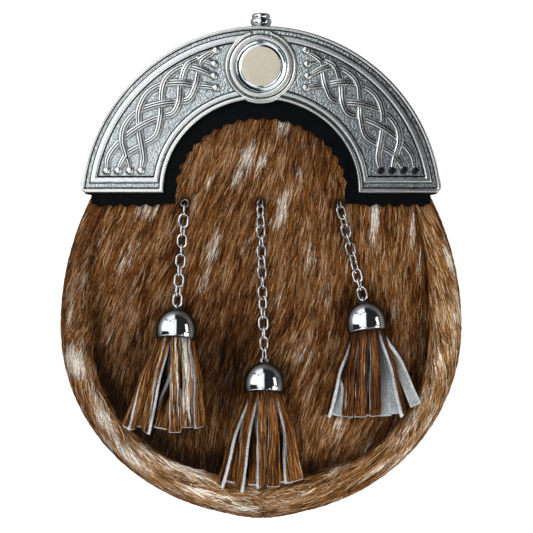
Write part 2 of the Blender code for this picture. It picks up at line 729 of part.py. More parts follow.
def bell_outer():
    """Outer side of a bell as radii and heights over its mouth, from the top of its dome down."""
    turns = np.radians((90.0, 68.0, 46.0, 23.0, 0.0))
    dome = BELL_HEIGHT - BELL_SHOULDER
    sides = 0.98 * BELL_RADIUS * np.cos(turns), BELL_SHOULDER + dome * np.sin(turns)
    return [*zip(*sides), (BELL_RADIUS, 0.0)]


def bell_frame(tassel):
    """Matrix of a bell with X along its axis from the chain's end, and the hide's height there."""
    lean = math.radians(tassel.lean)
    flat = Vector((math.sin(lean), -math.cos(lean), 0.0))
    along = flat * math.cos(BELL_TILT) + Vector((0.0, 0.0, math.sin(BELL_TILT)))
    hook = Vector((tassel.loop_x * MM, tassel.loop_y * MM, 0.0))
    rest = hook + flat * (BELL_HOOK + BELL_HEIGHT / 2)
    hide = float(front_level(rest.x, rest.y))
    low = max(r * math.cos(BELL_TILT) + h * math.sin(BELL_TILT) for r, h in bell_outer())
    hook.z = hide + 1.5 * GAP + low - (BELL_HOOK + BELL_HEIGHT) * math.sin(BELL_TILT)
    return frame_at(hook, along, 0.0), hide


def chain_line(tassel):
    """Points down a chain's middle, near the hide and then up to its bell's ring."""
    bell, _ = bell_frame(tassel)
    pin = np.array([tassel.pin_x, tassel.pin_y]) * MM
    hook = np.array(bell.translation)
    towards = hook[:2] - pin
    start = pin + towards * EYE_RADIUS / np.linalg.norm(towards)
    share = np.linspace(0.0, 1.0, 200)
    flat = start + (hook[:2] - start) * share[:, None]
    hide = front_level(flat[:, 0], flat[:, 1])
    end_up = hook[2] - hide[-1]
    up = HOOK_UP + (end_up - HOOK_UP) * ease((share - 0.5) / 0.5)
    return np.column_stack([flat, hide + up])


def make_chain(tassel):
    line = chain_line(tassel)
    travelled = np.concatenate([[0.0], np.cumsum(np.linalg.norm(np.diff(line, axis=0), axis=1))])
    count = len(tassel.turns)
    pitch = (travelled[-1] - 2 * reach()) / (count - 1)
    print(tassel.name, "chain pitch, mm:", round(pitch / MM, 3))
    for i, turn in enumerate(tassel.turns):
        middle = reach() + i * pitch
        spots = [
            Vector([np.interp(s, travelled, line[:, axis]) for axis in range(3)])
            for s in (middle - pitch / 2, middle, middle + pitch / 2)
        ]
        link = wire_oval(LINK_LENGTH, LINK_WIDTH)
        place(link, frame_at(spots[1], spots[2] - spots[0], math.radians(turn)))
        piece(link, f"{tassel.name}_chain_link_{i + 1:02d}", "chrome")


def make_pin(tassel):
    """The eye in a hole of the hide, its shank, and the washer that holds it from inside."""
    line = chain_line(tassel)
    pin = Vector((tassel.pin_x * MM, tassel.pin_y * MM, 0.0))
    hook = Vector(line[0])
    washer_top = FRONT_Z - HIDE - GAP
    back = pin + (pin - Vector((hook.x, hook.y, 0.0)))
    eye_back = Vector((back.x, back.y, FRONT_Z + 0.9 * MM))
    along = hook - eye_back
    eye = wire_oval(along.length + LINK_WIRE, 2 * EYE_RADIUS + LINK_WIRE)
    place(eye, frame_at((hook + eye_back) / 2, along, math.radians(tassel.turns[0] + 90)))
    shank = cylinder(0.6 * MM, washer_top - 0.4 * MM, eye_back.z, 8)
    place(shank, Matrix.Translation((back.x, back.y, 0.0)))
    washer = cylinder(WASHER_RADIUS, washer_top - WASHER_THICKNESS, washer_top, 12)
    place(washer, Matrix.Translation(pin))
    piece(boolean(washer, "UNION", [shank, eye]), f"{tassel.name}_eye_pin", "chrome")


def make_bell(tassel):
    """A turned cup with the ring that its chain hooks on."""
    profile = bell_outer() + [(BELL_RADIUS - BELL_WALL, 0.0)]
    inside = BELL_RADIUS - 1.2 * BELL_WALL
    profile += [(inside, BELL_SHOULDER), (0.72 * inside, 0.74 * BELL_HEIGHT)]
    profile += [(0.0, BELL_HEIGHT - 2 * BELL_WALL)]
    frame, _ = bell_frame(tassel)
    mouth_up = Matrix.Translation((BELL_HOOK + BELL_HEIGHT, 0.0, 0.0))
    mouth_up = frame @ mouth_up @ Matrix.Rotation(-math.pi / 2, 4, "Y")
    cup = place(turned(profile, 16), mouth_up)
    eye = wire_oval(2 * BELL_RING + LINK_WIRE, 2 * BELL_RING + LINK_WIRE)
    turn = math.radians(tassel.turns[-1] + 90)
    middle = frame @ Vector((BELL_RING, 0.0, 0.0))
    place(eye, frame_at(middle, frame.col[0].to_3d(), turn))
    piece(boolean(cup, "UNION", [eye]), f"{tassel.name}_bell", "chrome")


def hide_top(x, y):
    """What a strip lies on: the front panel, or the rim beyond its crease."""
    rim = crest_level(y) if seam_share(x, y) > RIM_NEAR else 0.0
    return float(max(front_level(x, y), rim))


def strip_rows(tassel, strip):
    """Sections of one strip, from inside the tassel's head to its cut end on the hide."""
    frame, hide = bell_frame(tassel)
    mouth = frame @ Vector((BELL_HOOK + BELL_HEIGHT, 0.0, 0.0))
    along, side, up = (frame.col[i].to_3d() for i in range(3))
    around = math.radians(strip.place)
    outward = up * math.cos(around) + side * math.sin(around)
    root = mouth + outward * STRIP_RING
    end = Vector((mouth.x + strip.across * MM, mouth.y - strip.along * MM, hide + strip.up * MM))
    rows = []
    for share in np.linspace(0.0, 1.0, STRIP_STEPS + 1):
        if share == 0.0:
            middle, tangent = root - along * 3.0 * MM, along
        else:
            run = (share - 0.5 / STRIP_STEPS) / (1.0 - 0.5 / STRIP_STEPS)
            flat = root.lerp(end, run)
            swell = math.sin(math.pi * run) * (1.0 - run) * 4.0 * MM
            middle = flat + outward * swell
            tangent = (end - root).normalized() * run + along * (1.0 - run)
        tangent = tangent.normalized()
        turn = around + (math.radians(strip.turn) - around) * ease(share)
        lateral = Vector((0.0, 0.0, 1.0)).cross(tangent).normalized()
        above = tangent.cross(lateral)
        normal = above * math.cos(turn) + lateral * math.sin(turn)
        across = normal.cross(tangent)
        wide = (STRIP_ROOT + (strip.width * MM - STRIP_ROOT) * share) / 2
        thick = STRIP_THICKNESS / 2
        corners = ((-wide, -thick), (wide, -thick), (wide, thick), (-wide, thick))
        row = [middle + across * a + normal * b for a, b in corners]
        below = min(spot.z - hide_top(spot.x, spot.y) for spot in row)
        rise = Vector((0.0, 0.0, max(0.0, 1.5 * GAP - below)))
        rows.append([spot + rise for spot in row])
    return rows


def make_tassel(tassel):
    """Strips of hide fused to the head that the bell grips."""
    frame, _ = bell_frame(tassel)
    mouth = frame @ Matrix.Translation((BELL_HOOK + BELL_HEIGHT, 0.0, 0.0))
    upright = mouth @ Matrix.Rotation(-math.pi / 2, 4, "Y")
    head = place(cylinder(HEAD_RADIUS, -1.0 * MM, HEAD_DEPTH, 12), upright)
    strips = []
    for strip in STRIPS[tassel.name]:
        loft = lofted(strip_rows(tassel, strip), True, True, True)
        strips.append(meshed(loft))
    fused = boolean(head, "UNION", strips, "MANIFOLD")
    piece(fused, f"{tassel.name}_tassel", "brown_hide")


def main():
    make_back_panel()
    make_gusset()
    make_front_panel()
    make_backing()
    make_cantle()
    make_medallion()
    make_knob()
    make_strap_loops()
    for tassel in TASSELS:
        make_pin(tassel)
        make_chain(tassel)
        make_bell(tassel)
        make_tassel(tassel)


main()
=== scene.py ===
# Sporran pouch: hair, hide, leather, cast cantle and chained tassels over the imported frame.
import math

import bpy
import numpy as np
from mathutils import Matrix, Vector


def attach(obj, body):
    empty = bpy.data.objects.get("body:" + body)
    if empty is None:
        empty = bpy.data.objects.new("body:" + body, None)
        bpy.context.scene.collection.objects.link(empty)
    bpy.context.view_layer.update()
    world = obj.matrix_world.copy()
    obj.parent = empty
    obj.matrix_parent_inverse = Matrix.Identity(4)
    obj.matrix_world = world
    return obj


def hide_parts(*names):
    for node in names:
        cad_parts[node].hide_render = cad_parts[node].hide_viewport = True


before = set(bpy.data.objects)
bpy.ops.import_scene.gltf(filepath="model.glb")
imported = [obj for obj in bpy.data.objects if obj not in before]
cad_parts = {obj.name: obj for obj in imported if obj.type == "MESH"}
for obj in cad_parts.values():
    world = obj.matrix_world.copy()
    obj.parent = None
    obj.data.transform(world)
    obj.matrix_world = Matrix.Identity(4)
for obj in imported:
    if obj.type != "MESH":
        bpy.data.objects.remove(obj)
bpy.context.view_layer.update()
mm = 0.001
rng = np.random.default_rng(7)
noTris = np.zeros((0, 3), int)


def metres(**lengths):  # settings given in millimetres, each a number or a row of them
    def scaled(value):
        return value * mm if np.isscalar(value) else tuple(v * mm for v in value)

    return {key: scaled(value) for key, value in lengths.items()}


def ease(share):  # smoothstep: 3t^2 - 2t^3, held at 0 and 1
    share = np.clip(share, 0.0, 1.0)
    return share * share * (3.0 - 2.0 * share)


def unit(vectors):
    return vectors / np.maximum(np.linalg.norm(vectors, axis=-1, keepdims=True), 1e-12)


def valueNoise(x, y, cell, seed):  # random lattice values blended by smoothstep, 0 to 1
    lattice = np.random.default_rng(seed).random((128, 128))
    gx, gy = x / cell + 31.7, y / cell + 57.3
    ix, iy = np.floor(gx).astype(int), np.floor(gy).astype(int)
    fx, fy = ease(gx - ix), ease(gy - iy)
    a = lattice[ix % 128, iy % 128] * (1 - fx) + lattice[(ix + 1) % 128, iy % 128] * fx
    b = lattice[ix % 128, (iy + 1) % 128] * (1 - fx) + lattice[(ix + 1) % 128, (iy + 1) % 128] * fx
    return a * (1 - fy) + b * fy


def smoothRows(rows, count):  # Catmull-Rom through rows of points, count rows out
    rows = np.asarray(rows, float)
    padded = np.concatenate([2 * rows[:1] - rows[1:2], rows, 2 * rows[-1:] - rows[-2:-1]])
    share = np.linspace(0.0, len(rows) - 1.0, count)
    first = np.minimum(share.astype(int), len(rows) - 2)
    t = (share - first).reshape((-1,) + (1,) * (rows.ndim - 1))
    p0, p1, p2, p3 = (padded[first + i] for i in range(4))
    return p1 + 0.5 * t * (p2 - p0 + t * (2 * p0 - 5 * p1 + 4 * p2 - p3 + t * (3 * (p1 - p2) + p3 - p0)))


def gridQuads(rows, cols, wrapRows=False, wrapCols=False):  # faces of a grid of points, row by row
    i, j = np.meshgrid(np.arange(rows - (not wrapRows)), np.arange(cols - (not wrapCols)), indexing="ij")
    i2, j2 = (i + 1) % rows, (j + 1) % cols
    corners = [i * cols + j, i * cols + j2, i2 * cols + j2, i2 * cols + j]
    return np.stack([c.ravel() for c in corners], axis=1)


def gridNormals(points):  # cross product of the grid's two directions
    return unit(np.cross(np.gradient(points, axis=1), np.gradient(points, axis=0)))


def addPiece(name, shape, look, nodes=(), **tones):  # shape: points, quads and, where there are any, triangles
    points, quads, tris = (*shape, noTris)[:3]
    mesh = bpy.data.meshes.new(name)
    corners = np.concatenate([quads.ravel(), tris.ravel()]).astype(np.int32)
    starts = np.concatenate([np.arange(len(quads)) * 4, len(quads) * 4 + np.arange(len(tris)) * 3])
    mesh.vertices.add(len(points))
    mesh.vertices.foreach_set("co", np.ascontiguousarray(points, np.float32).ravel())
    mesh.loops.add(len(corners))
    mesh.loops.foreach_set("vertex_index", corners)
    mesh.polygons.add(len(starts))
    mesh.polygons.foreach_set("loop_start", starts.astype(np.int32))
    mesh.polygons.foreach_set("use_smooth", np.ones(len(starts), bool))
    for label, values in tones.items():
        rgba = np.ones((len(points), 4), np.float32)
        rgba[:, :3] = values
        mesh.color_attributes.new(label, "FLOAT_COLOR", "POINT").data.foreach_set("color", rgba.ravel())
    mesh.update(calc_edges=True)
    mesh.validate()
    obj = bpy.data.objects.new(name, mesh)
    bpy.context.scene.collection.objects.link(obj)
    slotName, material = looks[look]
    mesh.materials.append(material)
    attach(obj, "root")
    if nodes:
        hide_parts(*nodes)


def openEdges(quads):  # edges that only one face uses, in that face's direction
    edges = np.concatenate([quads[:, [k, (k + 1) % 4]] for k in range(4)])
    ordered = np.sort(edges, axis=1)
    keys = ordered[:, 0] * (ordered.max() + 1) + ordered[:, 1]
    _, index, counts = np.unique(keys, return_index=True, return_counts=True)
    return edges[index[counts == 1]]


def wallOf(points, thickness, dropped=None):  # a skin and its inner copy, sewn at their edges
    inner = points - gridNormals(points) * thickness
    outer = gridQuads(*points.shape[:2])
    if dropped is not None:
        outer = outer[~dropped.ravel()[outer].all(axis=1)]
    edge, count = openEdges(outer), points.shape[0] * points.shape[1]
    sewn = np.column_stack([edge[:, 1], edge[:, 0], edge[:, 0] + count, edge[:, 1] + count])
    both = np.concatenate([points.reshape(-1, 3), inner.reshape(-1, 3)])
    return both, np.concatenate([outer, outer[:, ::-1] + count, sewn])


def endFans(sides, count):  # triangles that close a tube's two ends on the points count and count + 1
    j, last = np.arange(sides), count - sides
    j2 = (j + 1) % sides
    top = np.stack([j, j2, np.full(sides, count)], 1)
    return np.concatenate([top, np.stack([last + j2, last + j, np.full(sides, count + 1)], 1)])


def turnedPiece(profile, steps):  # profile (radius, height) from axis to axis, carried round Z
    profile = np.asarray(profile, float)
    angles = np.linspace(0, 2 * np.pi, steps, endpoint=False)
    radii, heights = profile[1:-1].T
    ring = [np.outer(radii, np.cos(angles)), np.outer(radii, np.sin(angles)), heights[:, None] + 0 * angles]
    ends = [[0, 0, profile[0, 1]], [0, 0, profile[-1, 1]]]
    points = np.concatenate([np.stack(ring, -1).reshape(-1, 3), ends])
    return points, gridQuads(len(radii), steps, False, True)[:, ::-1], endFans(steps, len(radii) * steps)


def wireOval(length, width, thick, steps=12, sides=10):  # closed oval of round wire, its length along X
    radius, straight = (width - thick) / 2, (length - width) / 2
    turns = np.linspace(-math.pi / 2, math.pi / 2, steps)
    bow = np.stack([straight + radius * np.cos(turns), radius * np.sin(turns), 0 * turns], -1)
    path = np.concatenate([bow, -bow * np.array([1, 1, -1])])
    along = unit(np.roll(path, -1, 0) - np.roll(path, 1, 0))
    side = unit(np.cross(along, (0, 0, 1)))
    turns = np.linspace(0, 2 * np.pi, sides, endpoint=False)[:, None]
    ring = np.cos(turns) * side[:, None] + np.sin(turns) * np.cross(side, along)[:, None]
    points = path[:, None] + thick / 2 * ring
    return points.reshape(-1, 3), gridQuads(len(path), sides, True, True)[:, ::-1]


def joinParts(parts):  # several shapes as one
    starts = np.cumsum([0, *(len(part[0]) for part in parts)])
    quads = [part[1] + start for part, start in zip(parts, starts)]
    tris = [part[2] + start for part, start in zip(parts, starts) if len(part) > 2]
    return np.concatenate([part[0] for part in parts]), np.concatenate(quads), np.concatenate([noTris, *tris])


def travelAlong(line):  # distance along a line of points, at each of them
    return np.concatenate([[0], np.cumsum(np.linalg.norm(np.diff(line, axis=0), axis=1))])


def frameAt(origin, along, turn):  # columns: along, across, normal turned about along from upwards
    along = unit(np.asarray(along, float))
    side = unit(np.cross((0, 0, 1), along))
    up = np.cross(along, side)
    normal = up * math.cos(turn) + side * math.sin(turn)
    return np.stack([along, np.cross(normal, along), normal], axis=1), np.asarray(origin, float)


def placed(points, place):
    return points @ place[0].T + place[1]


def put(tree, socket, value):  # links another socket to this one, or sets its plain value
    if hasattr(value, "links"):
        tree.links.new(value, socket)
    else:
        socket.default_value = (*value, 1.0) if socket.type == "RGBA" else value


def feed(tree, node, *values, **named):  # puts values into a node's first inputs and into named ones
    for socket, value in zip(node.inputs, values):
        put(tree, socket, value)
    for key, value in named.items():
        put(tree, node.inputs[key.replace("_", " ")], value)
    return node


def addNode(tree, kind, settings=None, *values, **named):
    node = tree.nodes.new("ShaderNode" + kind)
    for key, value in (settings or {}).items():
        setattr(node, key, value)
    return feed(tree, node, *values, **named)


def newGroup(name, numbers, results):  # a vector and plain numbers in, plain numbers out
    group = bpy.data.node_groups.new(name, "ShaderNodeTree")
    group.interface.new_socket(name="Vector", in_out="INPUT", socket_type="NodeSocketVector")
    for label, value in numbers.items():
        socket = group.interface.new_socket(name=label, in_out="INPUT", socket_type="NodeSocketFloat")
        socket.default_value = value
    for label in results:
        group.interface.new_socket(name=label, in_out="OUTPUT", socket_type="NodeSocketFloat")
    return group, group.nodes.new("NodeGroupInput").outputs, group.nodes.new("NodeGroupOutput")


def makeMath(tree, operation, *values, clamp=False):
    return addNode(tree, "Math", {"operation": operation, "use_clamp": clamp}, *values).outputs[0]


def times(tree, a, b):
    return makeMath(tree, "MULTIPLY", a, b)


def plus(tree, a, b, clamp=False):
    return makeMath(tree, "ADD", a, b, clamp=clamp)


def makeMix(tree, factor, a, b, blend="MIX"):
    node = addNode(tree, "Mix", {"data_type": "RGBA", "blend_type": blend}, factor)
    put(tree, node.inputs[6], a)  # the colour sockets come after the number and vector ones
    put(tree, node.inputs[7], b)
    return node.outputs[2]


def tinted(tree, a, b):  # product of two colours
    return makeMix(tree, 1.0, a, b, "MULTIPLY")


def makeNoise(tree, place, scale, detail=3.0):
    return addNode(tree, "TexNoise", Vector=place, Scale=scale, Detail=detail, Roughness=0.55).outputs["Fac"]


def makeRamp(tree, source, stops):
    node = addNode(tree, "ValToRGB", None, source)
    while len(node.color_ramp.elements) < len(stops):
        node.color_ramp.elements.new(0.5)
    for element, (position, value) in zip(node.color_ramp.elements, stops):
        element.position = position
        element.color = (*value, 1.0) if hasattr(value, "__len__") else (value, value, value, 1.0)
    return node.outputs["Color"]


def makeCloud(tree, place, scale, detail, low, high, half=0.15):  # noise as two shades, blended in the middle
    return makeRamp(tree, makeNoise(tree, place, scale, detail), ((0.5 - half, low), (0.5 + half, high)))


def readTone(tree, label="tone"):
    return addNode(tree, "VertexColor", {"layer_name": label}).outputs["Color"]


def shades(colour, *shares):
    return [tuple(c * share for c in colour) for share in shares]


def wearGroup():  # smudges and fine scratches on bare metal: roughness and height
    numbers = {"Base": 0.2, "Spread": 0.1}
    group, (vector, base, spread, *_), sink = newGroup("metalWear", numbers, ("Roughness", "Height"))
    stretch = addNode(group, "Mapping", Vector=vector, Scale=(2600.0, 160.0, 900.0), Rotation=(0.3, 0.2, 0.6))
    scratch = makeNoise(group, stretch.outputs[0], 1.0, 2.0)
    smudge = makeMath(group, "SUBTRACT", makeNoise(group, vector, 60.0, 4.0), 0.5)
    marks = times(group, plus(group, smudge, times(group, scratch, 0.4)), spread)
    feed(group, sink, plus(group, base, marks, True), scratch)
    return group


def grainGroup():  # pebbled leather grain with soft creases: mask and height
    group, (vector, scale, *_), sink = newGroup("leatherGrain", {"Scale": 900.0}, ("Mask", "Height"))
    cells = addNode(group, "TexVoronoi", {"feature": "DISTANCE_TO_EDGE"}, Vector=vector, Scale=scale)
    soft = makeNoise(group, vector, 130.0, 4.0)
    pebble = makeRamp(group, cells.outputs["Distance"], ((0.0, 0.0), (0.35, 1.0)))
    feed(group, sink, soft, plus(group, times(group, pebble, 0.5), soft))
    return group


groups = {"wear": wearGroup(), "grain": grainGroup()}


def useGroup(tree, name, place, **numbers):
    return addNode(tree, "Group", {"node_tree": groups[name]}, Vector=place, **numbers).outputs[:2]


def newMaterial(name, **sockets):  # a Principled material with plain values, its tree and Object coordinates
    material = bpy.data.materials.new(name)
    material.use_nodes = True
    tree = material.node_tree
    feed(tree, tree.nodes["Principled BSDF"], **sockets)
    return material, tree, addNode(tree, "TexCoord").outputs["Object"]


def dress(material, colour, rough, height, strength, distance):  # wires a material's colour, roughness and bump
    tree = material.node_tree
    bump = addNode(tree, "Bump", Height=height, Strength=strength, Distance=distance).outputs["Normal"]
    feed(tree, tree.nodes["Principled BSDF"], Base_Color=colour, Roughness=rough, Normal=bump)
    return material


def hairMaterial(name, roughness):  # hair coloured strand by strand, with fine mottling
    material, tree, place = newMaterial(name, Specular_IOR_Level=0.08)
    colour = tinted(tree, readTone(tree), makeCloud(tree, place, 900.0, 2.0, 0.74, 1.22, 0.25))
    rough = makeMath(tree, "MULTIPLY_ADD", makeNoise(tree, place, 300.0), 0.25, roughness - 0.12)
    return dress(material, colour, rough, makeNoise(tree, place, 2500.0, 2.0), 0.15, 0.0003)


def suedeMaterial():  # napped skin side and the cut edges of the hide, coloured by vertex
    material, tree, place = newMaterial("suede", Specular_IOR_Level=0.2, Sheen_Weight=0.25)
    mask, height = useGroup(tree, "grain", place, Scale=2200.0)
    colour = tinted(tree, readTone(tree), makeCloud(tree, place, 1600.0, 4.0, 0.6, 1.25))
    colour = tinted(tree, colour, makeRamp(tree, mask, ((0.35, 0.75), (0.65, 1.15))))
    return dress(material, colour, makeRamp(tree, mask, ((0.0, 0.75), (1.0, 0.95))), height, 0.3, 0.0004)


def leatherMaterial(name, colour):  # smooth black leather
    material, tree, place = newMaterial(name, Specular_IOR_Level=0.05)
    mask, height = useGroup(tree, "grain", place, Scale=1100.0)
    dark, light = shades(colour, 0.7, 1.7)
    colour = makeRamp(tree, mask, ((0.3, dark), (0.75, light)))
    return dress(material, colour, makeRamp(tree, mask, ((0.25, 0.38), (0.8, 0.6))), height, 0.35, 0.00035)


def metalMaterial(name, colour, roughness, spread):  # plated metal
    material, tree, place = newMaterial(name, Metallic=1.0)
    rough, height = useGroup(tree, "wear", place, Base=roughness, Spread=spread)
    colour = makeCloud(tree, place, 45.0, 3.0, *shades(colour, 0.86, 1))
    return dress(material, colour, rough, height, 0.05, 0.0001)


def bellMaterial(colour, paintedEdgeShade):  # chrome whose sloping sides turn satin towards the edge, then dark: painted dark reflection round the bell's edge
    material, tree, place = newMaterial("bellChrome", Metallic=1.0)
    rough, height = useGroup(tree, "wear", place, Base=0.06, Spread=0.07)
    facing = addNode(tree, "LayerWeight", Blend=0.5).outputs["Facing"]
    rough = plus(tree, rough, makeRamp(tree, facing, ((0.22, 0.0), (0.42, 0.42))), True)
    colour = makeRamp(tree, facing, ((0.28, colour), (0.46, *shades(colour, 0.5)), (0.62, paintedEdgeShade)))
    return dress(material, colour, rough, height, 0.05, 0.0001)


def discMaterial():  # brushed warm face and a bright bevel, chosen by the mesh's own tone
    material, tree, place = newMaterial("medallionLook", Metallic=1.0)
    rough, height = useGroup(tree, "wear", place, Base=0.34, Spread=0.14)
    face = makeCloud(tree, place, 60.0, 4.0, (0.65, 0.58, 0.46), (0.72, 0.645, 0.515))
    face = tinted(tree, face, makeCloud(tree, place, 1400.0, 2.0, 0.93, 1.05))
    bevel = readTone(tree)
    colour = makeMix(tree, bevel, face, (0.60, 0.65, 0.69))
    return dress(material, colour, plus(tree, rough, times(tree, bevel, -0.24), True), height, 0.05, 0.0001)


def pewterMaterial():  # cast metal: polished heights, dark patina in hollows, stippled ground; painted shade darkening it to the right, and painted dark reflection on the right foot's pellets
    material, tree, place = newMaterial("castPewter", Metallic=1.0)
    ground, cavityAndShade, polish = addNode(tree, "SeparateColor", None, readTone(tree, "relief")).outputs
    over, strand, scored = addNode(tree, "SeparateColor", None, readTone(tree, "marks")).outputs
    cells = addNode(tree, "TexVoronoi", {"feature": "SMOOTH_F1"}, Vector=place, Scale=1250.0, Smoothness=0.6)
    stipple = plus(tree, cells.outputs["Distance"], times(tree, makeNoise(tree, place, 1500.0), 0.7))
    # painted shade: the stippled ground darkens towards the right
    rightwards = times(tree, addNode(tree, "SeparateXYZ", None, place).outputs[0], 10.0)
    rightwardShade = makeRamp(tree, rightwards, ((0.1, 1.0), (0.5, 0.5)))
    pitsAndShade = tinted(tree, makeRamp(tree, stipple, ((0.35, 1.25), (0.9, 0.62))), rightwardShade)
    across = makeMath(tree, "ABSOLUTE", plus(tree, times(tree, over, 2.0), -1.0))
    groove = (0.16, 0.0), (0.25, 1.0), (0.44, 1.0), (0.53, 0.0), (0.80, 0.0), (0.92, 1.0)
    groove = makeRamp(tree, across, groove)
    rules = makeRamp(tree, scored, (
        (0.175, 0.0), (0.19, 1.0), (0.23, 1.0), (0.25, 0.0), (0.375, 0.0), (0.39, 0.9),
        (0.42, 0.9), (0.44, 0.0), (0.63, 0.0), (0.645, 1.0), (0.695, 1.0), (0.72, 0.0)))
    carvedAndShade = makeMath(tree, "MAXIMUM", times(tree, groove, strand), rules)
    clean = makeCloud(tree, place, 70.0, 4.0, (0.57, 0.62, 0.63), (0.66, 0.70, 0.705))
    base = makeMix(tree, ground, clean, tinted(tree, clean, pitsAndShade))
    sootAndShade = times(tree, cavityAndShade, makeCloud(tree, place, 240.0, 4.0, 0.7, 1.0, 0.2))
    sootAndShade = makeMath(tree, "MAXIMUM", times(tree, sootAndShade, 0.8), times(tree, carvedAndShade, 0.985))
    worn = times(tree, times(tree, polish, 0.8), makeMath(tree, "SUBTRACT", 1.0, carvedAndShade))
    colour = makeMix(tree, worn, makeMix(tree, sootAndShade, base, (0.008, 0.009, 0.010)), (0.67, 0.66, 0.63))
    rough, scratch = useGroup(tree, "wear", place, Base=0.24, Spread=0.16)
    rough = plus(tree, plus(tree, rough, times(tree, ground, 0.06)), times(tree, cavityAndShade, 0.2), True)
    height = plus(tree, times(tree, stipple, ground), times(tree, scratch, 0.08))
    height = makeMath(tree, "SUBTRACT", height, times(tree, carvedAndShade, 1.2))
    return dress(material, colour, rough, height, 0.65, 0.0003)


looks = {  # the record's slot, and the material
    "frontHair": ("brown_hide", hairMaterial("frontHairLook", 0.5)),
    "tasselHair": ("brown_hide", hairMaterial("tasselHairLook", 0.45)),
    "hide": ("brown_hide", hairMaterial("hideLook", 0.75)),
    "suede": ("brown_hide", suedeMaterial()),
    "leather": ("black_leather", leatherMaterial("blackLeather", (0.0012, 0.0018, 0.0024))),
    "chrome": ("chrome", metalMaterial("brightChrome", (0.62, 0.63, 0.645), 0.06, 0.07)),
    "bell": ("chrome", bellMaterial((0.62, 0.63, 0.645), (0.02, 0.02, 0.02))),
    "dullChrome": ("chrome", metalMaterial("dullChrome", (0.26, 0.27, 0.28), 0.14, 0.1)),
    "disc": ("polished_steel", discMaterial()),
    "nearBlack": ("chrome", metalMaterial("nearBlackMetal", (0.02, 0.02, 0.022), 0.4, 0.2)),
    "pewter": ("cast_pewter", pewterMaterial()),
}
print("materials made")


# the pouch's outlines and heights are the same as its solids'
pouch = {
    "outline": (93.8 * mm, 88.2 * mm, 114.0 * mm, 2.0),  # half width, drop, rise, power
    "seam": (79.0 * mm, 70.6 * mm, 125.0 * mm, 2.2),
    "back": (85.8 * mm, 81.4 * mm, 174.0 * mm, 2.0),
    "foot": (85.8 * mm, 81.4 * mm, 106.0 * mm, 2.0),
    "slope": 0.2, "end": math.radians(130),
    **metres(widestY=-29.0, tip=(1.2, 14.0), wall=2.0, gap=0.3, lift=(-8.0, 22.0), front=31.0, belly=1.4,
             crest=(33.4, 30.9), crease=(28.8, 30.0), backLift=(-12.0, 58.0, 7.0), flange=9.0),
}
rimFolds = (  # towards the back or the seam; share inward, share up, share of the fall to the crease
    ("foot", 1.00, 0.00, 0.0), ("foot", 0.20, 0.03, 0.0), ("foot", 0.00, 0.28, 0.0), ("seam", 0.00, 0.58, 0.0),
    ("seam", 0.14, 0.86, 0.0), ("seam", 0.42, 1.00, 0.0), ("seam", 0.78, 0.98, 0.15), ("seam", 1.00, 1.00, 1.0),
)


def eggOutline(name, angles):  # superellipse with its own drop and rise; angle 0 is the lowest point
    halfWidth, drop, rise, power = pouch[name]
    x = halfWidth * np.sign(np.sin(angles)) * np.abs(np.sin(angles)) ** (2 / power)
    reach = np.where(np.cos(angles) > 0, -drop, rise)
    return np.stack([x, pouch["widestY"] + reach * np.abs(np.cos(angles)) ** (2 / power)], axis=-1)


def pouchOutline(angles):  # the egg outline, with a small point at its lowest place
    points = eggOutline("outline", angles)
    depth, halfWidth = pouch["tip"]
    points[..., 1] -= np.where(np.cos(angles) > 0, depth * np.exp(-((points[..., 0] / halfWidth) ** 2)), 0.0)
    return points


def lifted(y, pair):  # from the belly's height to that under the cantle
    low, high = pouch["lift"]
    return pair[0] + (pair[1] - pair[0]) * ease((y - low) / (high - low))


def backLevel(y):
    low, high, rise = pouch["backLift"]
    return rise * ease((y - low) / (high - low))


def seamShare(x, y):  # 0 at the front's middle, 1 at its seam
    halfWidth, drop, rise, power = pouch["seam"]
    reach = np.where(y < pouch["widestY"], drop, rise)
    across, along = np.abs(x) / halfWidth, np.abs(y - pouch["widestY"]) / reach
    return (across**power + along**power) ** (1 / power)


def frontLevel(x, y):  # level inside, sloping to the crease near the seam
    share = seamShare(x, y)
    low, high = pouch["lift"]
    flat = 1.0 - ease((y - low) / (high - low))
    level = pouch["front"] + pouch["belly"] * flat * (1.0 - np.minimum(share, 1.0) ** 2)
    crease = lifted(y, pouch["crease"])
    return crease + (level - crease) * ease((1.0 - share) / pouch["slope"])


def rimGrid(angleCount, sectionCount):  # the rim's outer surface: section splines at each angle
    angles = np.linspace(-pouch["end"], pouch["end"], angleCount)
    rim = pouchOutline(angles)
    foot = eggOutline("foot", angles)
    ends = {"seam": eggOutline("seam", angles)}
    middle = np.array([0.0, pouch["widestY"]])
    ends["foot"] = foot + unit(middle - foot) * pouch["flange"]
    rows = []
    for towards, inward, up, fall in rimFolds:
        flat = rim + (ends[towards] - rim) * inward
        low = backLevel(flat[:, 1]) + pouch["wall"] + pouch["gap"]
        crest, crease = (lifted(flat[:, 1], pouch[key]) for key in ("crest", "crease"))
        rows.append(np.column_stack([flat, low + up * (crest - low) - fall * (crest - crease)]))
    return smoothRows(rows, sectionCount)


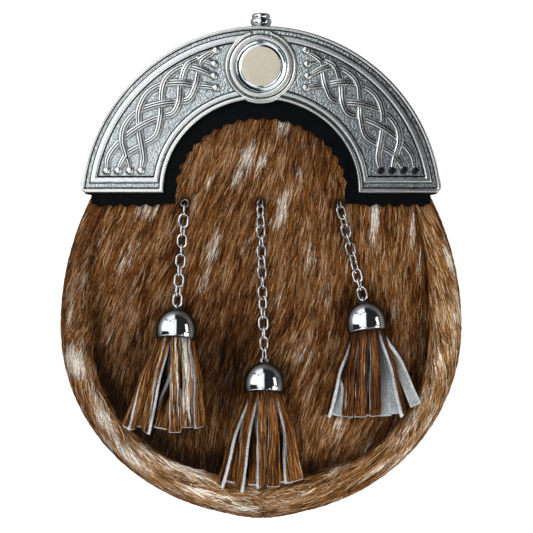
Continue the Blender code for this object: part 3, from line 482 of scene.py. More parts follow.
hideTones = {
    "brown": (0.262, 0.090, 0.015),
    "dark": (0.042, 0.012, 0.003),
    "tan": (0.57, 0.345, 0.18),
    "white": (0.93, 0.89, 0.80),
    "flesh": (0.30, 0.26, 0.22),
}
paleSpots = (  # on the front: place in mm, half sizes across and along the hair, strength
    (-6, 51, 4, 8, 0.95), (0.5, 49, 2.5, 7, 0.7), (-10.5, 42, 3.5, 7, 0.7), (9.5, 66, 3.5, 6, 0.8),
    (5, 57, 2, 6, 0.4), (10, 27, 3, 10, 0.8), (18, 43, 2.5, 7, 0.5), (-30, 31, 3, 7, 0.55),
    (-24, 40, 2.5, 6, 0.45), (-14, 63, 2, 5, 0.35), (-32, 43, 2.5, 5, 0.4), (23, 5, 4, 9, 0.55),
    (53, 24, 2.5, 17, 0.85), (45, 31, 3, 6, 0.5), (71, 17, 2, 11, 0.6), (74, 6, 3, 12, 0.35),
    (-22, 8, 2.5, 9, 0.8), (-26, -7, 3, 8, 0.6), (-63, 3, 3, 10, 0.7), (-54, 27, 6, 4.5, 0.9),
    (-7, 12, 3, 7, 0.4), (-60, -12, 2.5, 9, 0.5), (-70, -30, 3, 10, 0.4), (30, -15, 3, 10, 0.45),
    (20, -40, 4, 14, 0.45), (36, -75, 3, 9, 0.45), (50, -85, 2, 8, 0.7), (62, -22, 3, 8, 0.5),
    (-40, 20, 3, 9, 0.4), (34, 30, 3, 8, 0.4), (-75, 12, 3, 9, 0.4), (8, -15, 2, 8, 0.35),
    (-16, -55, 2, 10, 0.3), (57, -62, 3, 9, 0.4), (-32, -48, 2, 9, 0.25), (22, -62, 3, 10, 0.4),
)
darkHairAndShadowSpots = (  # on the front, darker hair and painted shadow under the tassels, round the bells and in the right crease: place, half width and half height in mm, strength
    (-46, -64, 32, 34, 1.15), (-16, -50, 18, 30, 1.15), (32, -46, 11, 24, 0.3), (-66, -48, 12, 30, 0.4),
    (-14, -92, 34, 14, 1.3), (68, -50, 7, 30, 0.35), (-24, 2, 10, 14, 0.15), (4, -30, 10, 14, 0.35),
    (26, -92, 16, 8, 0.4), (-42, -60, 9, 17, 1.3), (2, -86, 9, 17, 1.3), (50, -55, 10, 15, 1.3),
    (24, 62, 14, 14, 0.45), (-39, -27, 11.5, 10, 1.5), (4, -52, 11.5, 10, 1.5), (50, -23, 11.5, 10, 1.5),
)
lightSpots = (  # on the front, the same
    (66, 4, 16, 30, 1.0), (-12, 46, 24, 16, 0.1), (34, -78, 18, 18, 1.0), (48, -68, 20, 20, 0.7),
    (30, 0, 20, 30, 0.15), (-78, 0, 10, 34, 1.0),
)
rimPaleSpots = (  # on the rim: angle from the tip in degrees, place over its section, half sizes, strength
    (-83, 0.73, 6, 0.18, 1.0), (-72, 0.82, 6, 0.08, 0.6), (-62, 0.80, 8, 0.12, 0.95),
    (-56, 0.60, 7, 0.07, 0.7), (-48, 0.70, 9, 0.09, 0.95), (-42, 0.88, 9, 0.07, 0.8),
    (-31, 0.93, 12, 0.08, 1.05), (-19, 0.74, 10, 0.06, 0.9), (-8, 0.62, 9, 0.06, 0.9),
    (-30, 0.62, 8, 0.04, 0.5), (-3, 0.80, 5, 0.06, 0.5), (-95, 0.70, 6, 0.07, 0.6), (-104, 0.84, 6, 0.06, 0.4),
    (82, 0.84, 6, 0.07, 0.6), (66, 0.88, 8, 0.07, 0.8), (62, 0.62, 8, 0.06, 0.8), (50, 0.60, 7, 0.05, 0.9),
    (54, 0.80, 8, 0.05, 0.6), (28, 0.92, 10, 0.05, 0.7), (16, 0.76, 9, 0.05, 0.55), (8, 0.66, 7, 0.05, 0.6),
    (109, 0.64, 4, 0.08, 1.0), (100, 0.58, 5, 0.06, 0.7), (38, 0.70, 7, 0.04, 0.6), (-85, 0.50, 8, 0.05, 0.5),
    (90, 0.66, 7, 0.04, 0.5), (22, 0.58, 8, 0.03, 0.4), (-66, 0.52, 6, 0.05, 0.5), (58, 0.40, 22, 0.05, 0.6),
    (86, 0.40, 14, 0.05, 0.45), (34, 0.42, 12, 0.04, 0.5),
)
rimLightSpots = (  # on the rim, lightened
    (84, 0.72, 30, 0.40, 1.1), (48, 0.72, 20, 0.40, 0.7), (18, 0.72, 24, 0.40, 0.6),
    (-22, 0.72, 26, 0.40, 0.75), (-75, 0.66, 20, 0.30, 0.2),
)
rimDarkSpots = (  # on the rim, darkened
    (-104, 0.6, 20, 0.6, 0.42), (-88, 0.92, 14, 0.1, 0.4), (126, 0.8, 8, 0.4, 0.3),
)


def spotField(u, v, spots):  # strongest of several bell-shaped spots
    field = np.zeros_like(u)
    for pu, pv, halfU, halfV, strength in spots:
        field = np.maximum(field, strength * np.exp(-(((u - pu) / halfU) ** 2) - ((v - pv) / halfV) ** 2))
    return field


def threeTones(tone, dark, middle, light, low, lowBlend, high, highBlend):  # dark under low, light over high
    dim, lit = ease((low - tone) / lowBlend)[..., None], ease((tone - high) / highBlend)[..., None]
    return (np.array(middle) * (1 - dim) + np.array(dark) * dim) * (1 - lit) + np.array(light) * lit


def coatColour(across, along, pale, shade, seed, spread=0.0, glow=1.0):  # streaks of brown, dark, tan and white
    def streaks(stretch, cell, layer):
        return valueNoise(across, along / stretch, cell * mm, layer + seed)

    tone = 0.12 * streaks(3.0, 6.0, 11) + 0.18 * streaks(7.0, 1.5, 13) + 0.30 * streaks(10.0, 0.5, 14)
    tone = tone + 0.40 * (spread + 0.5) - 0.05 * shade
    dark, brown, tan, white = (np.array(hideTones[key]) for key in ("dark", "brown", "tan", "white"))
    colour = threeTones(tone, dark, brown, tan, 0.48, 0.14, 0.56, 0.15)
    colour = colour * (1 + np.clip(-shade, 0, 1)[..., None] * np.array([-0.04, 0.22, 0.5]))
    thread = 0.30 * streaks(10.0, 0.55, 15) + (0.20 * streaks(5.0, 2.2, 16) + 0.25 + 0.55 * spread)
    share = ease((0.08 + 0.70 * np.minimum(pale, 1) - thread) / 0.12 + 0.1)[..., None]
    glow = np.asarray(glow)[..., None]
    mixed = colour * glow * (1 - share) + white * glow**0.3 * share
    return mixed * (1 - 0.66 * np.minimum(shade, 1.3))[..., None]


flow = {
    "lean": math.tan(math.radians(20)), "turn": 0.34,
    **metres(xs=(-10, 55), ys=(-75, -5), straight=(-15, 80), waver=2.4, cell=30, middle=45),
}


def flowAcross(x, y):  # constant along the front's hair: x less the lean times y, upright low and on the right
    low, high = flow["ys"]
    u = np.clip((y - low) / (high - low), 0, 1)
    rise = (high - low) * (u**3 - u**4 / 2) + np.maximum(y - high, 0)
    side = ease((x - flow["xs"][0]) / (flow["xs"][1] - flow["xs"][0]))
    waver = flow["waver"] * (valueNoise(x, y, flow["cell"], 41) - 0.5)
    drop = np.maximum(flow["straight"][0] - y, 0)
    leaned = flow["lean"] * (y + (1 - side) * drop**2 / (2 * flow["straight"][1]))
    return x - leaned + flow["turn"] * side * (rise - flow["middle"]) + waver


def frontLean(x, y):  # direction in which that value stays the same
    step = 0.5 * mm
    dx = flowAcross(x + step, y) - flowAcross(x - step, y)
    dy = flowAcross(x, y + step) - flowAcross(x, y - step)
    return np.arctan2(-dy, dx)


def frontColour(x, y, spread=0.0, glow=1.0):
    pale = np.zeros_like(x)
    lean = frontLean(x, y)
    for px, py, halfAcross, halfAlong, strength in paleSpots:
        dx, dy = x - px * mm, y - py * mm
        a = (dx * np.cos(lean) - dy * np.sin(lean)) / (halfAcross * mm)
        b = (dx * np.sin(lean) + dy * np.cos(lean)) / (halfAlong * mm)
        pale = np.maximum(pale, strength * np.exp(-(a * a + b * b)))
    shade = spotField(x / mm, y / mm, darkHairAndShadowSpots) - 0.3 * spotField(x / mm, y / mm, lightSpots)
    # painted shade in the crease along the seam, low on the front
    shade = shade + 0.9 * ease((seamShare(x, y) - 0.85) / 0.12) * ease((12 * mm - y) / (45 * mm))
    # painted shadow along the chains, and painted dark round the pins' holes
    chainShadow = 0.5 * np.exp(-((nearestChain(x, y) / (2.2 * mm)) ** 2))
    shade = shade + chainShadow + np.exp(-((nearestPin(x, y) / (3.4 * mm)) ** 4))
    return coatColour(flowAcross(x, y), y, pale * (1 - 0.5 * np.clip(shade, 0, 1)), shade, 0, spread, glow)


def rimColour(u, v, rows, cols, spread=0.0, glow=1.0):  # by place on the rim's grid, streaked along the rim
    angle = np.degrees(-pouch["end"] + 2 * pouch["end"] * v / (cols - 1))
    share = u / (rows - 1)
    pale = spotField(angle, share, rimPaleSpots)
    # painted shade in the crease at the rim's inner edge, strongest on the right
    inner = 0.4 * ease((70 - np.abs(angle)) / 40) + 0.7 * ease((angle - 10) / 15) * ease((115 - angle) / 20)
    shade = inner * ease((share - 0.9) / 0.1) + spotField(angle, share, rimDarkSpots)
    shade = shade - 1.0 * spotField(angle, share, rimLightSpots)
    return coatColour(share * 62 * mm, angle * 1.52 * mm, pale, shade, 40, spread, glow)


hanging = {  # where each chain starts and ends, its drop's lean and its links' turns in degrees
    "left": metres(pin=(-35.6, 29.1), hook=(-38.9, -18.0)) | {
        "lean": -2.0, "turns": (90, 0, 70, -5, 90, 5, 72, 0, 65, -15)},
    "centre": metres(pin=(-0.4, 28.8), hook=(1.6, -42.9)) | {
        "lean": 0.0, "turns": (50, -40, 30, -70, 25, -48, 28, -80, 22, -40, 70, 0, 100, 35, 110)},
    "right": metres(pin=(36.7, 28.1), hook=(47.5, -14.9)) | {
        "lean": 7.0, "turns": (30, -60, 15, 90, 12, -58, 52, -20, 72, -15)},
}


def ribbons(knots, sides, widths, tones):  # two points at each knot but the last, which is the tip
    count, steps = knots.shape[:2]
    half = widths[:, None, None] * np.array([0.5, 0.46, 0.3])[None, : steps - 1, None]
    left = knots[:, :-1] - sides[:, None] * half
    right = knots[:, :-1] + sides[:, None] * half
    body = np.stack([left, right], axis=2).reshape(count, -1, 3)
    points = np.concatenate([body, knots[:, -1:]], axis=1)
    per = points.shape[1]
    base = np.arange(count)[:, None] * per
    quads = [base + np.array([2 * i, 2 * i + 1, 2 * i + 3, 2 * i + 2]) for i in range(steps - 2)]
    tris = base + np.array([per - 3, per - 2, per - 1])
    shade = np.array([0.6, 0.94, 1.06, 1.12])  # darker at the root
    tint = tones[:, None] * np.append(np.repeat(shade[:-1], 2), shade[-1])[None, :, None]
    return points.reshape(-1, 3), np.concatenate(quads), tris, tint.reshape(-1, 3)


def strandsAlong(coat, knots, normals):  # the knots, directions across the ribbons rolled at random, and widths
    widths = rng.uniform(*coat["width"], len(knots))
    side = unit(np.cross(unit(knots[:, 2] - knots[:, 0]), normals))
    roll = rng.uniform(-coat["roll"], coat["roll"], len(side))[:, None]
    return knots, side * np.cos(roll) + normals * np.sin(roll), widths


def drawStrands(coat, count):  # lean, length, height from 0 to 1, and curl
    lean, length = rng.normal(0, coat["lean"], count), rng.uniform(*coat["length"], count)
    return lean, length, rng.uniform(0.0, 1.0, count) ** 1.5, rng.normal(0, coat["curl"], count)


def addHair(name, look, strands):
    *shape, tint = ribbons(*strands)
    addPiece(name, shape, look, tone=tint)


def addHalves(name, places, makeStrands):  # a coat as two pieces, left and right
    for side, part in zip(("Left", "Right"), np.array_split(np.argsort(places), 2)):
        addHair(name + side, "frontHair", makeStrands(part))


strandShares = (0.0, 0.34, 0.68, 1.0)  # where a strand's knots are along it


def strandUp(coat, rise, share):  # height over the hide: starts just inside it, peaks between low and high
    low, high = coat["rise"]
    return -coat["sunk"] + (low + (high - low) * rise + coat["sunk"]) * math.sin(share * 2.4)


frontCoat = {
    "strands": 53000, "steps": 121, "lean": math.radians(6), "curl": math.radians(4), "roll": 0.8,
    "glow": (0.6, 1.45),
    **metres(length=(6.0, 10.5), width=(0.18, 0.40), rise=(0.15, 1.15), sunk=0.25, xs=(-80, 80), ys=(-100, 74),
             archHalfWidth=42.5, archHeight=36.6, archY=34.9, footLine=30.2, hole=2.6),
}


def frontRoots(count):  # even random places on the front that the cantle's leather doesn't cover
    x = rng.uniform(*frontCoat["xs"], count * 3)
    y = rng.uniform(*frontCoat["ys"], count * 3)
    arch = (x / frontCoat["archHalfWidth"]) ** 2 + ((y - frontCoat["archY"]) / frontCoat["archHeight"]) ** 2 < 1
    shown = (seamShare(x, y) < 0.985) & ((y < frontCoat["footLine"]) | arch)
    return x[shown][:count], y[shown][:count]


def frontStrands(x, y):
    count = len(x)
    lean, length, rise, curl = drawStrands(frontCoat, count)
    lean = frontLean(x, y) + lean
    knots = []
    for share in strandShares:
        turn = lean + curl * share
        kx = x - np.sin(turn) * length * share
        ky = y - np.cos(turn) * length * share
        knots.append(np.stack([kx, ky, frontLevel(kx, ky) + strandUp(frontCoat, rise, share)], axis=-1))
    knots = np.stack(knots, axis=1)
    clear = nearestPin(knots[..., 0], knots[..., 1]).min(axis=1) > frontCoat["hole"] * 1.1
    middleX, middleY = x - np.sin(lean) * length / 2, y - np.cos(lean) * length / 2
    tones = frontColour(middleX, middleY, rng.uniform(-0.5, 0.5, count), rng.uniform(*frontCoat["glow"], count))
    strands = strandsAlong(frontCoat, knots, np.array([0.0, 0.0, 1.0]))
    return [values[clear] for values in (*strands, tones)]


def nearestPin(x, y):  # distance to the nearest of the three pins
    pins = [line["pin"] for line in hanging.values()]
    return np.min([np.hypot(x - px, y - py) for px, py in pins], axis=0)


def nearestChain(x, y):  # distance to the nearest of the straight lines from the pins to the bells
    gaps = []
    for line in hanging.values():
        start, end = np.array(line["pin"]), np.array(line["hook"])
        run = end - start
        share = np.clip(((x - start[0]) * run[0] + (y - start[1]) * run[1]) / (run @ run), 0, 1)
        gaps.append(np.hypot(x - start[0] - share * run[0], y - start[1] - share * run[1]))
    return np.min(gaps, axis=0)


def frontGrid():  # the hide's plan as a square grid pulled out to its rounded outline
    line = np.linspace(-1, 1, frontCoat["steps"])
    a, b = np.meshgrid(line, line, indexing="ij")
    reach = np.maximum(np.abs(a), np.abs(b))
    spread = (reach / np.maximum(np.sqrt(a * a + b * b), 1e-9)) * ease(reach) + (1 - ease(reach))
    a, b = a * spread, b * spread
    middle = np.array([0.0, pouch["widestY"]])
    away = eggOutline("seam", np.arctan2(b, -a)) - middle
    away = away * (1 - pouch["gap"] / np.linalg.norm(away, axis=-1, keepdims=True))
    return middle + away * np.hypot(a, b)[..., None]


def makeFront():
    flat = frontGrid()
    hole = frontCoat["hole"]
    for line in hanging.values():  # the grid's points near a hole move to its edge
        far = np.linalg.norm(flat - line["pin"], axis=-1, keepdims=True)
        pushed = line["pin"] + unit(flat - line["pin"]) * hole * 1.02
        flat = np.where((far > hole * 0.62) & (far < hole * 1.02), pushed, flat)
    x, y = flat[..., 0], flat[..., 1]
    grid = np.stack([x, y, frontLevel(x, y)], axis=-1)
    points, quads = wallOf(grid, pouch["wall"], nearestPin(x, y) < hole)
    tones = frontColour(points[:, 0], points[:, 1]) * 0.5
    tones[len(points) // 2:] = hideTones["flesh"]
    addPiece("frontHide", (points, quads), "hide", ["front_panel"], tone=tones)
    x, y = frontRoots(frontCoat["strands"])
    addHalves("frontHair", x, lambda part: frontStrands(x[part], y[part]))
    print("front made")


rimCoat = {
    "rows": 50, "cols": 217, "strands": 40000, "fan": (math.radians(3), math.radians(15)), "roll": 0.8,
    "lean": 0.09, "curl": 0.12, "glow": (0.6, 1.5),
    **metres(length=(7.0, 13.0), width=(0.20, 0.43), rise=(0.15, 1.1), sunk=0.25),
}


def sampleGrid(grid, u, v):  # bilinear reading of a grid of vectors at fractional places
    rows, cols = grid.shape[:2]
    u, v = np.clip(u, 0, rows - 1.001), np.clip(v, 0, cols - 1.001)
    i, j = u.astype(int), v.astype(int)
    fu, fv = (u - i)[:, None], (v - j)[:, None]
    top = grid[i, j] * (1 - fv) + grid[i, j + 1] * fv
    return top * (1 - fu) + (grid[i + 1, j] * (1 - fv) + grid[i + 1, j + 1] * fv) * fu


def makeRim():
    rows, cols = rimCoat["rows"], rimCoat["cols"]
    shell = rimGrid(cols, rows)
    gu, gv = np.meshgrid(np.arange(float(rows)), np.arange(float(cols)), indexing="ij")
    tones = [rimColour(gu, gv, rows, cols).reshape(-1, 3) * 0.5, np.tile(hideTones["flesh"], (rows * cols, 1))]
    addPiece("rimHide", wallOf(shell, pouch["wall"]), "hide", ["gusset"], tone=np.concatenate(tones))
    normals = gridNormals(shell)
    alongFold, alongRim = np.gradient(shell, axis=(0, 1))
    sizes = np.linalg.norm(np.cross(alongRim, alongFold), axis=-1)
    sizes[: int(rows * 0.12)] = 0.0  # none on the hidden flange
    count = rimCoat["strands"]
    picked = rng.choice(rows * cols, count, p=(sizes / sizes.sum()).ravel())
    u = np.clip(picked // cols + rng.uniform(-0.5, 0.5, count), 0, rows - 1.01)
    v = np.clip(picked % cols + rng.uniform(-0.5, 0.5, count), 0, cols - 1.01)
    stepV = np.linalg.norm(sampleGrid(alongRim, u, v), axis=1)
    stepU = np.maximum(np.linalg.norm(sampleGrid(alongFold, u, v), axis=1), 0.2 * mm)
    offCentre = (v - (cols - 1) / 2) / (cols / 2)
    low, high = rimCoat["fan"]
    fan = low + (high - low) * ease((np.abs(offCentre) - 0.12) / 0.3)
    lean, length, rise, curl = drawStrands(rimCoat, count)
    fan = fan + 0.3 * (valueNoise(u, v, 12.0, 43) - 0.5) + lean
    towards = -np.tanh(offCentre / 0.05)
    knots = []
    for share in strandShares:
        angle = fan + curl * share
        pu = u - np.sin(angle) * length * share / stepU
        pv = v + towards * np.cos(angle) * length * share / stepV
        up = strandUp(rimCoat, rise, share)
        knots.append(sampleGrid(shell, pu, pv) + sampleGrid(normals, pu, pv) * up[:, None])
    knots = np.stack(knots, axis=1)
    knots[..., 2] = np.maximum(knots[..., 2], 0.1 * mm)
    tones = rimColour(u, v, rows, cols, rng.uniform(-0.5, 0.5, count), rng.uniform(*rimCoat["glow"], count))
    strands = *strandsAlong(rimCoat, knots, sampleGrid(normals, u, v)), tones
    addHalves("rimHair", knots[:, 0, 0], lambda part: [values[part] for values in strands])
    print("rim made")


backPanel = {"rows": 90, "cols": 51, **metres(arcCentre=27.4, arcRadius=78.9)}


def backHalfWidth(y):  # egg below, the cantle's arc above
    halfWidth, drop, rise, _ = pouch["back"]
    reach = np.where(y < pouch["widestY"], drop, rise)
    egg = halfWidth * np.sqrt(np.maximum(1 - ((y - pouch["widestY"]) / reach) ** 2, 0))
    arc = np.sqrt(np.maximum(backPanel["arcRadius"] ** 2 - (y - backPanel["arcCentre"]) ** 2, 0))
    return np.where(y > backPanel["arcCentre"], np.minimum(egg, arc), egg)


def makeBack():
    low = pouch["widestY"] - pouch["back"][1] * math.cos(math.radians(6))
    high = backPanel["arcCentre"] + backPanel["arcRadius"] * math.sin(math.radians(84))
    y = low + (high - low) * (1 - np.cos(np.linspace(0, np.pi, backPanel["rows"]))) / 2
    x = np.linspace(1, -1, backPanel["cols"])[None] * backHalfWidth(y)[:, None]
    y = y[:, None] + 0 * x
    shape = wallOf(np.stack([x, y, backLevel(y)], -1), pouch["wall"])
    addPiece("backLeather", shape, "leather", ["back_panel"])
    print("back made")


loopShape = metres(x=37.0, y=72.0, width=20.0, slot=23.0, tab=6.0, bend=1.0)


def makeLoops():  # leather folded down from the back, round the strap and up again
    top = pouch["backLift"][2] - pouch["gap"] - pouch["wall"]
    half, bend = loopShape["slot"] / 2 + pouch["wall"], loopShape["bend"]
    run = [(-half - loopShape["tab"], top), (-half - 2 * bend, top), (-half - bend, top), (-half, top - bend)]
    run += [(-half + 0.4 * bend, bend), *((-half + turns * bend, 0.0) for turns in (1.6, 3, 6))]
    path = smoothRows(run + [(0.0, 0.0)] + [(-y, z) for y, z in reversed(run)], 90)
    for side, name in ((-1, "left"), (1, "right")):
        x = side * loopShape["x"] + np.linspace(1, -1, 9)[None] * loopShape["width"] / 2 + 0 * path[:, :1]
        y = loopShape["y"] + path[:, :1] + 0 * x
        z = np.maximum(path[:, 1:], 0.0) + 0 * x
        shape = wallOf(np.stack([x, y, z], -1), pouch["wall"])
        addPiece(f"{name}Loop", shape, "leather", [f"{name}_strap_loop"])
    print("strap loops made")


backing = {
    "steps": 760, "teeth": (46.5, 78.5, 260),
    **metres(z=31.3, thick=1.5, centreY=27.4, radius=82.6, low=28.8, archY=34.9, halfWidth=40.5, height=34.5,
             pitch=6.0, depth=1.5, footEnd=79.3, footTop=35.5, strip=1.2),
}


def pinked(turns):  # zigzag of pointed teeth, 0 to 1
    return 1 - np.abs(2 * (turns % 1.0) - 1)


def archTurns(low, radius, count):  # angles along an arc about the cantle's centre, down to a height
    start = math.asin((low - cantle["centreY"]) / radius)
    return np.linspace(math.pi - start, start, count)


def makeBacking():  # a flat horseshoe whose inner and lower edges are pinked
    outerTurn = archTurns(backing["low"], backing["radius"], backing["steps"])
    outer = np.stack([np.cos(outerTurn), np.sin(outerTurn)], -1) * backing["radius"]
    outer[:, 1] += backing["centreY"]
    turn = np.linspace(math.pi, 0, backing["steps"])
    bow = [backing["halfWidth"] * np.cos(turn), backing["archY"] + backing["height"] * np.sin(turn)]
    bow = np.stack(bow, -1)
    tooth = backing["depth"] * pinked(travelAlong(bow) / backing["pitch"])
    inward = unit(np.array([0, backing["archY"]]) - bow)
    atFeet = np.exp(-((turn * (math.pi - turn)) / 0.12) ** 2)
    flare = atFeet[:, None] * np.array([0, backing["archY"] - backing["low"]])
    lines = [bow + inward * (tooth - back * mm)[:, None] - flare for back in (0.0, 0.12)]
    lines += [bow - inward * back * mm - flare for back in (0.5, 1.5)]
    share = np.linspace(0, 1, 5)[1:]
    rest = lines[-1][:, None] * (1 - share[None, :, None]) + outer[:, None] * share[None, :, None]
    flat = np.concatenate([np.stack(lines, 1), rest], axis=1)
    low = ease((backing["footTop"] - flat[..., 1]) / (2.5 * mm))
    limit = backing["footEnd"] * low + 200 * mm * (1 - low)
    x, y = np.clip(flat[..., 0], -limit, limit), flat[..., 1]
    top = np.stack([x, y, np.full_like(x, backing["z"] + backing["thick"])], -1)
    addPiece("backingLeather", wallOf(top[:, ::-1], backing["thick"]), "leather", ["cantle_backing"])
    makeFootTeeth()
    print("backing made")


def makeFootTeeth():  # teeth along the two lower edges, as a strip with a pinked side
    parts = []
    for side in (-1, 1):
        x = np.linspace(*backing["teeth"]) * mm * side
        lowY = backing["low"] - backing["depth"] * pinked(x / backing["pitch"])
        share = np.linspace(0, 1, 4)
        y = lowY[:, None] * (1 - share) + (backing["low"] + backing["strip"]) * share
        z = np.full_like(y, backing["z"] + backing["thick"] - 0.02 * mm)
        grid = np.stack([x[:, None] + 0 * y, y, z], -1)
        parts.append(wallOf(grid if side < 0 else grid[:, ::-1], backing["thick"] - 0.04 * mm))
    addPiece("backingTeeth", joinParts(parts), "leather")


cantle = {
    "along": 600, "across": 118,
    **metres(centreY=27.4, radius=84.4, footY=33.8, archY=34.9, archHalfWidth=45.5, archHeight=42.7,
             roundelY=92.9, lobe=17.4, seat=1.0, baseZ=33.1, groundZ=35.1, skirtZ=25.1, skirtWall=1.5,
             corner=3.0),
}
reliefLimits = {  # radii about the roundel's centre and insets from the edges, in mm
    "seat": 12.15, "slot": (13.8, 16.6), "roundel": 16.7, "opening": 4.6, "lip": 1.6, "channel": (2.3, 4.0),
    "plait": 6.6, "ground": 6.9,
}
ridges = {  # raised lines: height, place and half width in mm, and how square; the first two by inset
    "border": (1.0, 0.95, 0.95, 9.0), "bar": (0.6, 5.3, 1.1, 9.0),
    "collar": (1.2, 15.95, 0.8, 5.0), "ring": (1.15, 13.45, 1.3, 8.0), "lip": (0.75, 17.0, 0.8, 3.0),
}
knotTable = (  # each strand of the left plait: angle and radius in mm about the centre, over 1 or under -1
    ((166.9, 73.9, 0), (161.3, 74.6, 0), (154.4, 71.9, -1), (146.6, 67.8, 1), (138.4, 62.8, -1),
     (133.3, 59.8, 0), (127.9, 62.1, 1), (122.8, 68.7, -1), (117.9, 74.1, 1), (114.4, 74.8, 0),
     (111.9, 74.2, -1), (108.0, 69.9, 0)),
    ((165.8, 68.8, 0), (158.8, 66.9, 0), (152.8, 62.5, -1), (145.8, 59.1, 0), (138.4, 62.4, 1),
     (134.1, 66.7, -1), (128.4, 73.0, 1), (123.3, 74.9, 0), (117.9, 74.1, -1), (113.9, 70.5, 1),
     (109.7, 64.7, 0)),
    ((164.6, 63.5, 0), (159.8, 66.8, 0), (154.3, 71.8, 1), (148.8, 73.8, 0), (142.1, 72.4, -1),
     (134.0, 66.8, 1), (127.9, 62.1, -1), (123.3, 60.5, 0), (117.9, 64.4, 1), (113.9, 70.5, -1),
     (112.1, 73.9, 1), (106.0, 75.8, 0)),
    ((163.2, 58.4, 0), (157.8, 59.2, 0), (152.8, 62.5, 1), (146.6, 68.2, -1), (141.3, 72.6, 1),
     (134.8, 74.8, 0), (128.4, 73.0, -1), (122.7, 68.9, 1), (117.9, 64.4, -1), (113.8, 61.6, 0),
     (110.7, 59.2, 0)),
)


def bead(distance, half, power=2.5):  # rounded ridge: (1 - |d/half|^power)^(1/2)
    return np.sqrt(np.clip(1 - np.abs(distance / half) ** power, 0, 1))


def ridge(name, distance):
    height, place, half, power = ridges[name]
    return height * mm * bead(distance - place, half, power)


def between(name, distance):
    low, high = reliefLimits[name]
    return (distance > low) & (distance < high)


def pelletPlace(row):  # a strand's end on the left side, as metres right of and above the cantle's centre
    turn = math.radians(row[0])
    return -row[1] * math.cos(turn), row[1] * math.sin(turn)


def plaitHeight(x, y):  # highest strand at each place: its height, its mask and where across it this is
    y = y - cantle["centreY"]
    radius = np.hypot(x, y) / mm
    angle = np.degrees(np.arctan2(y, -np.abs(x)))
    height, mask, across = np.zeros_like(x), np.zeros_like(x), np.zeros_like(x)
    for strand in knotTable:
        line = smoothRows(strand, 400)[::-1]
        middle = np.interp(angle, line[:, 0], line[:, 1])
        level = np.interp(angle, line[:, 0], line[:, 2])
        slope = np.interp(angle, line[:, 0], np.gradient(line[:, 1], np.radians(line[:, 0])))
        away = (radius - middle) / np.sqrt(1 + (slope / middle) ** 2)
        ends = np.minimum(angle - line[0, 0], line[-1, 0] - angle)
        half = 1.15 + 0.5 * ease(ends / 5.0)
        shape = bead(away, half, 6.0) * (ends > -0.3)
        layers = [(np.where(shape > 0, (0.22 * level + 0.62) * shape**0.7, 0), shape, away / half)]
        for row in (strand[0], strand[-1]):  # a pellet at each end
            px, py = pelletPlace(row)
            gone = np.hypot(np.abs(x) / mm - abs(px), y / mm - py)
            layers.append((1.1 * bead(gone, 1.75, 4.0), 0.0, 0.0))
        for own, ownMask, ownAcross in layers:
            over = own > height
            height, mask = np.where(over, own, height), np.where(over, ownMask, mask)
            across = np.where(over, ownAcross, across)
    return height * mm, mask, across


edgeBands = {  # how the border, channel and bar widths of each side fit the common profile, in mm
    "common": (0.0, 2.1, 4.2, 6.4, 6.9, 40.0),
    "outer": (0.0, 1.8, 3.9, 6.5, 7.1, 40.2),
    "foot": (0.0, 2.2, 4.9, 7.2, 7.8, 40.9),
    "inner": (0.0, 2.0, 2.7, 4.7, 5.1, 38.2),
}


def cantleRelief(x, y):  # heights over the ground, from insets of the outline, the roundel and the plait
    outer = cantle["radius"] - np.hypot(x, y - cantle["centreY"])
    spot = np.hypot(x / cantle["archHalfWidth"], (y - cantle["archY"]) / cantle["archHeight"])
    inner = (1 - 1 / np.maximum(spot, 1e-6)) * np.hypot(x, y - cantle["archY"])
    inner = np.where(y > cantle["archY"], inner, np.abs(x) - cantle["archHalfWidth"])
    gaps = ("outer", outer), ("inner", inner), ("foot", y - cantle["footY"])
    inset = np.minimum.reduce([np.interp(gap / mm, edgeBands[side], edgeBands["common"]) for side, gap in gaps])
    gone = np.hypot(x, y - cantle["roundelY"]) / mm
    clear = gone > reliefLimits["roundel"]
    plait, strand, across = plaitHeight(x, y)
    within = (inset > reliefLimits["plait"]) & clear
    openTop = (y > cantle["roundelY"]) & (np.abs(x) < reliefLimits["opening"] * mm)
    raised = [ridge("border", inset) * clear, ridge("bar", inset) * clear, plait * within]
    raised += [ridge("collar", gone) * ~openTop, ridge("ring", gone)]
    raised += [ridge("lip", gone) * (inset < reliefLimits["lip"]) * (y < cantle["roundelY"])]
    height = np.where(gone < reliefLimits["seat"], -cantle["seat"], np.maximum.reduce(raised))
    bare = (inset > reliefLimits["ground"]) & clear & (plait <= 0)
    ground = bare | (between("channel", inset) & clear) | (between("slot", gone) & openTop)
    polish = np.clip(height / (1.0 * mm), 0, 1)
    scored = np.where(clear, np.clip(inset / 10.0, 0, 1), 0.21 * (np.abs(gone - 14.98) < 0.3))
    lines = np.stack([0.5 + 0.5 * across, ((strand > 0.02) & within) * 1.0, scored], -1)
    return height, ground * 1.0, polish, lines


def boxBlur(values, reach):  # mean over a square of the grid, by running sums
    for axis in (0, 1):
        padded = np.pad(values, [(reach + 1, reach) if a == axis else (0, 0) for a in (0, 1)], mode="edge")
        total = np.cumsum(padded, axis=axis)
        count = values.shape[axis]
        high = np.take(total, np.arange(count) + 2 * reach + 1, axis=axis)
        low = np.take(total, np.arange(count), axis=axis)
        values = (high - low) / (2 * reach + 1)
    return values


def bendFeet(flat, fromRim):  # rounds the outer corner of each foot: the corner's circle, faded upwards
    corner = cantle["corner"]
    left = np.maximum(corner - fromRim, 0)
    bend = corner - np.sqrt(np.maximum(corner**2 - left**2, 0))
    fade = np.clip(1 - (flat[..., 1] - cantle["footY"]) / (2.5 * corner), 0, 1)
    return np.stack([flat[..., 0], flat[..., 1] + bend * fade], -1)


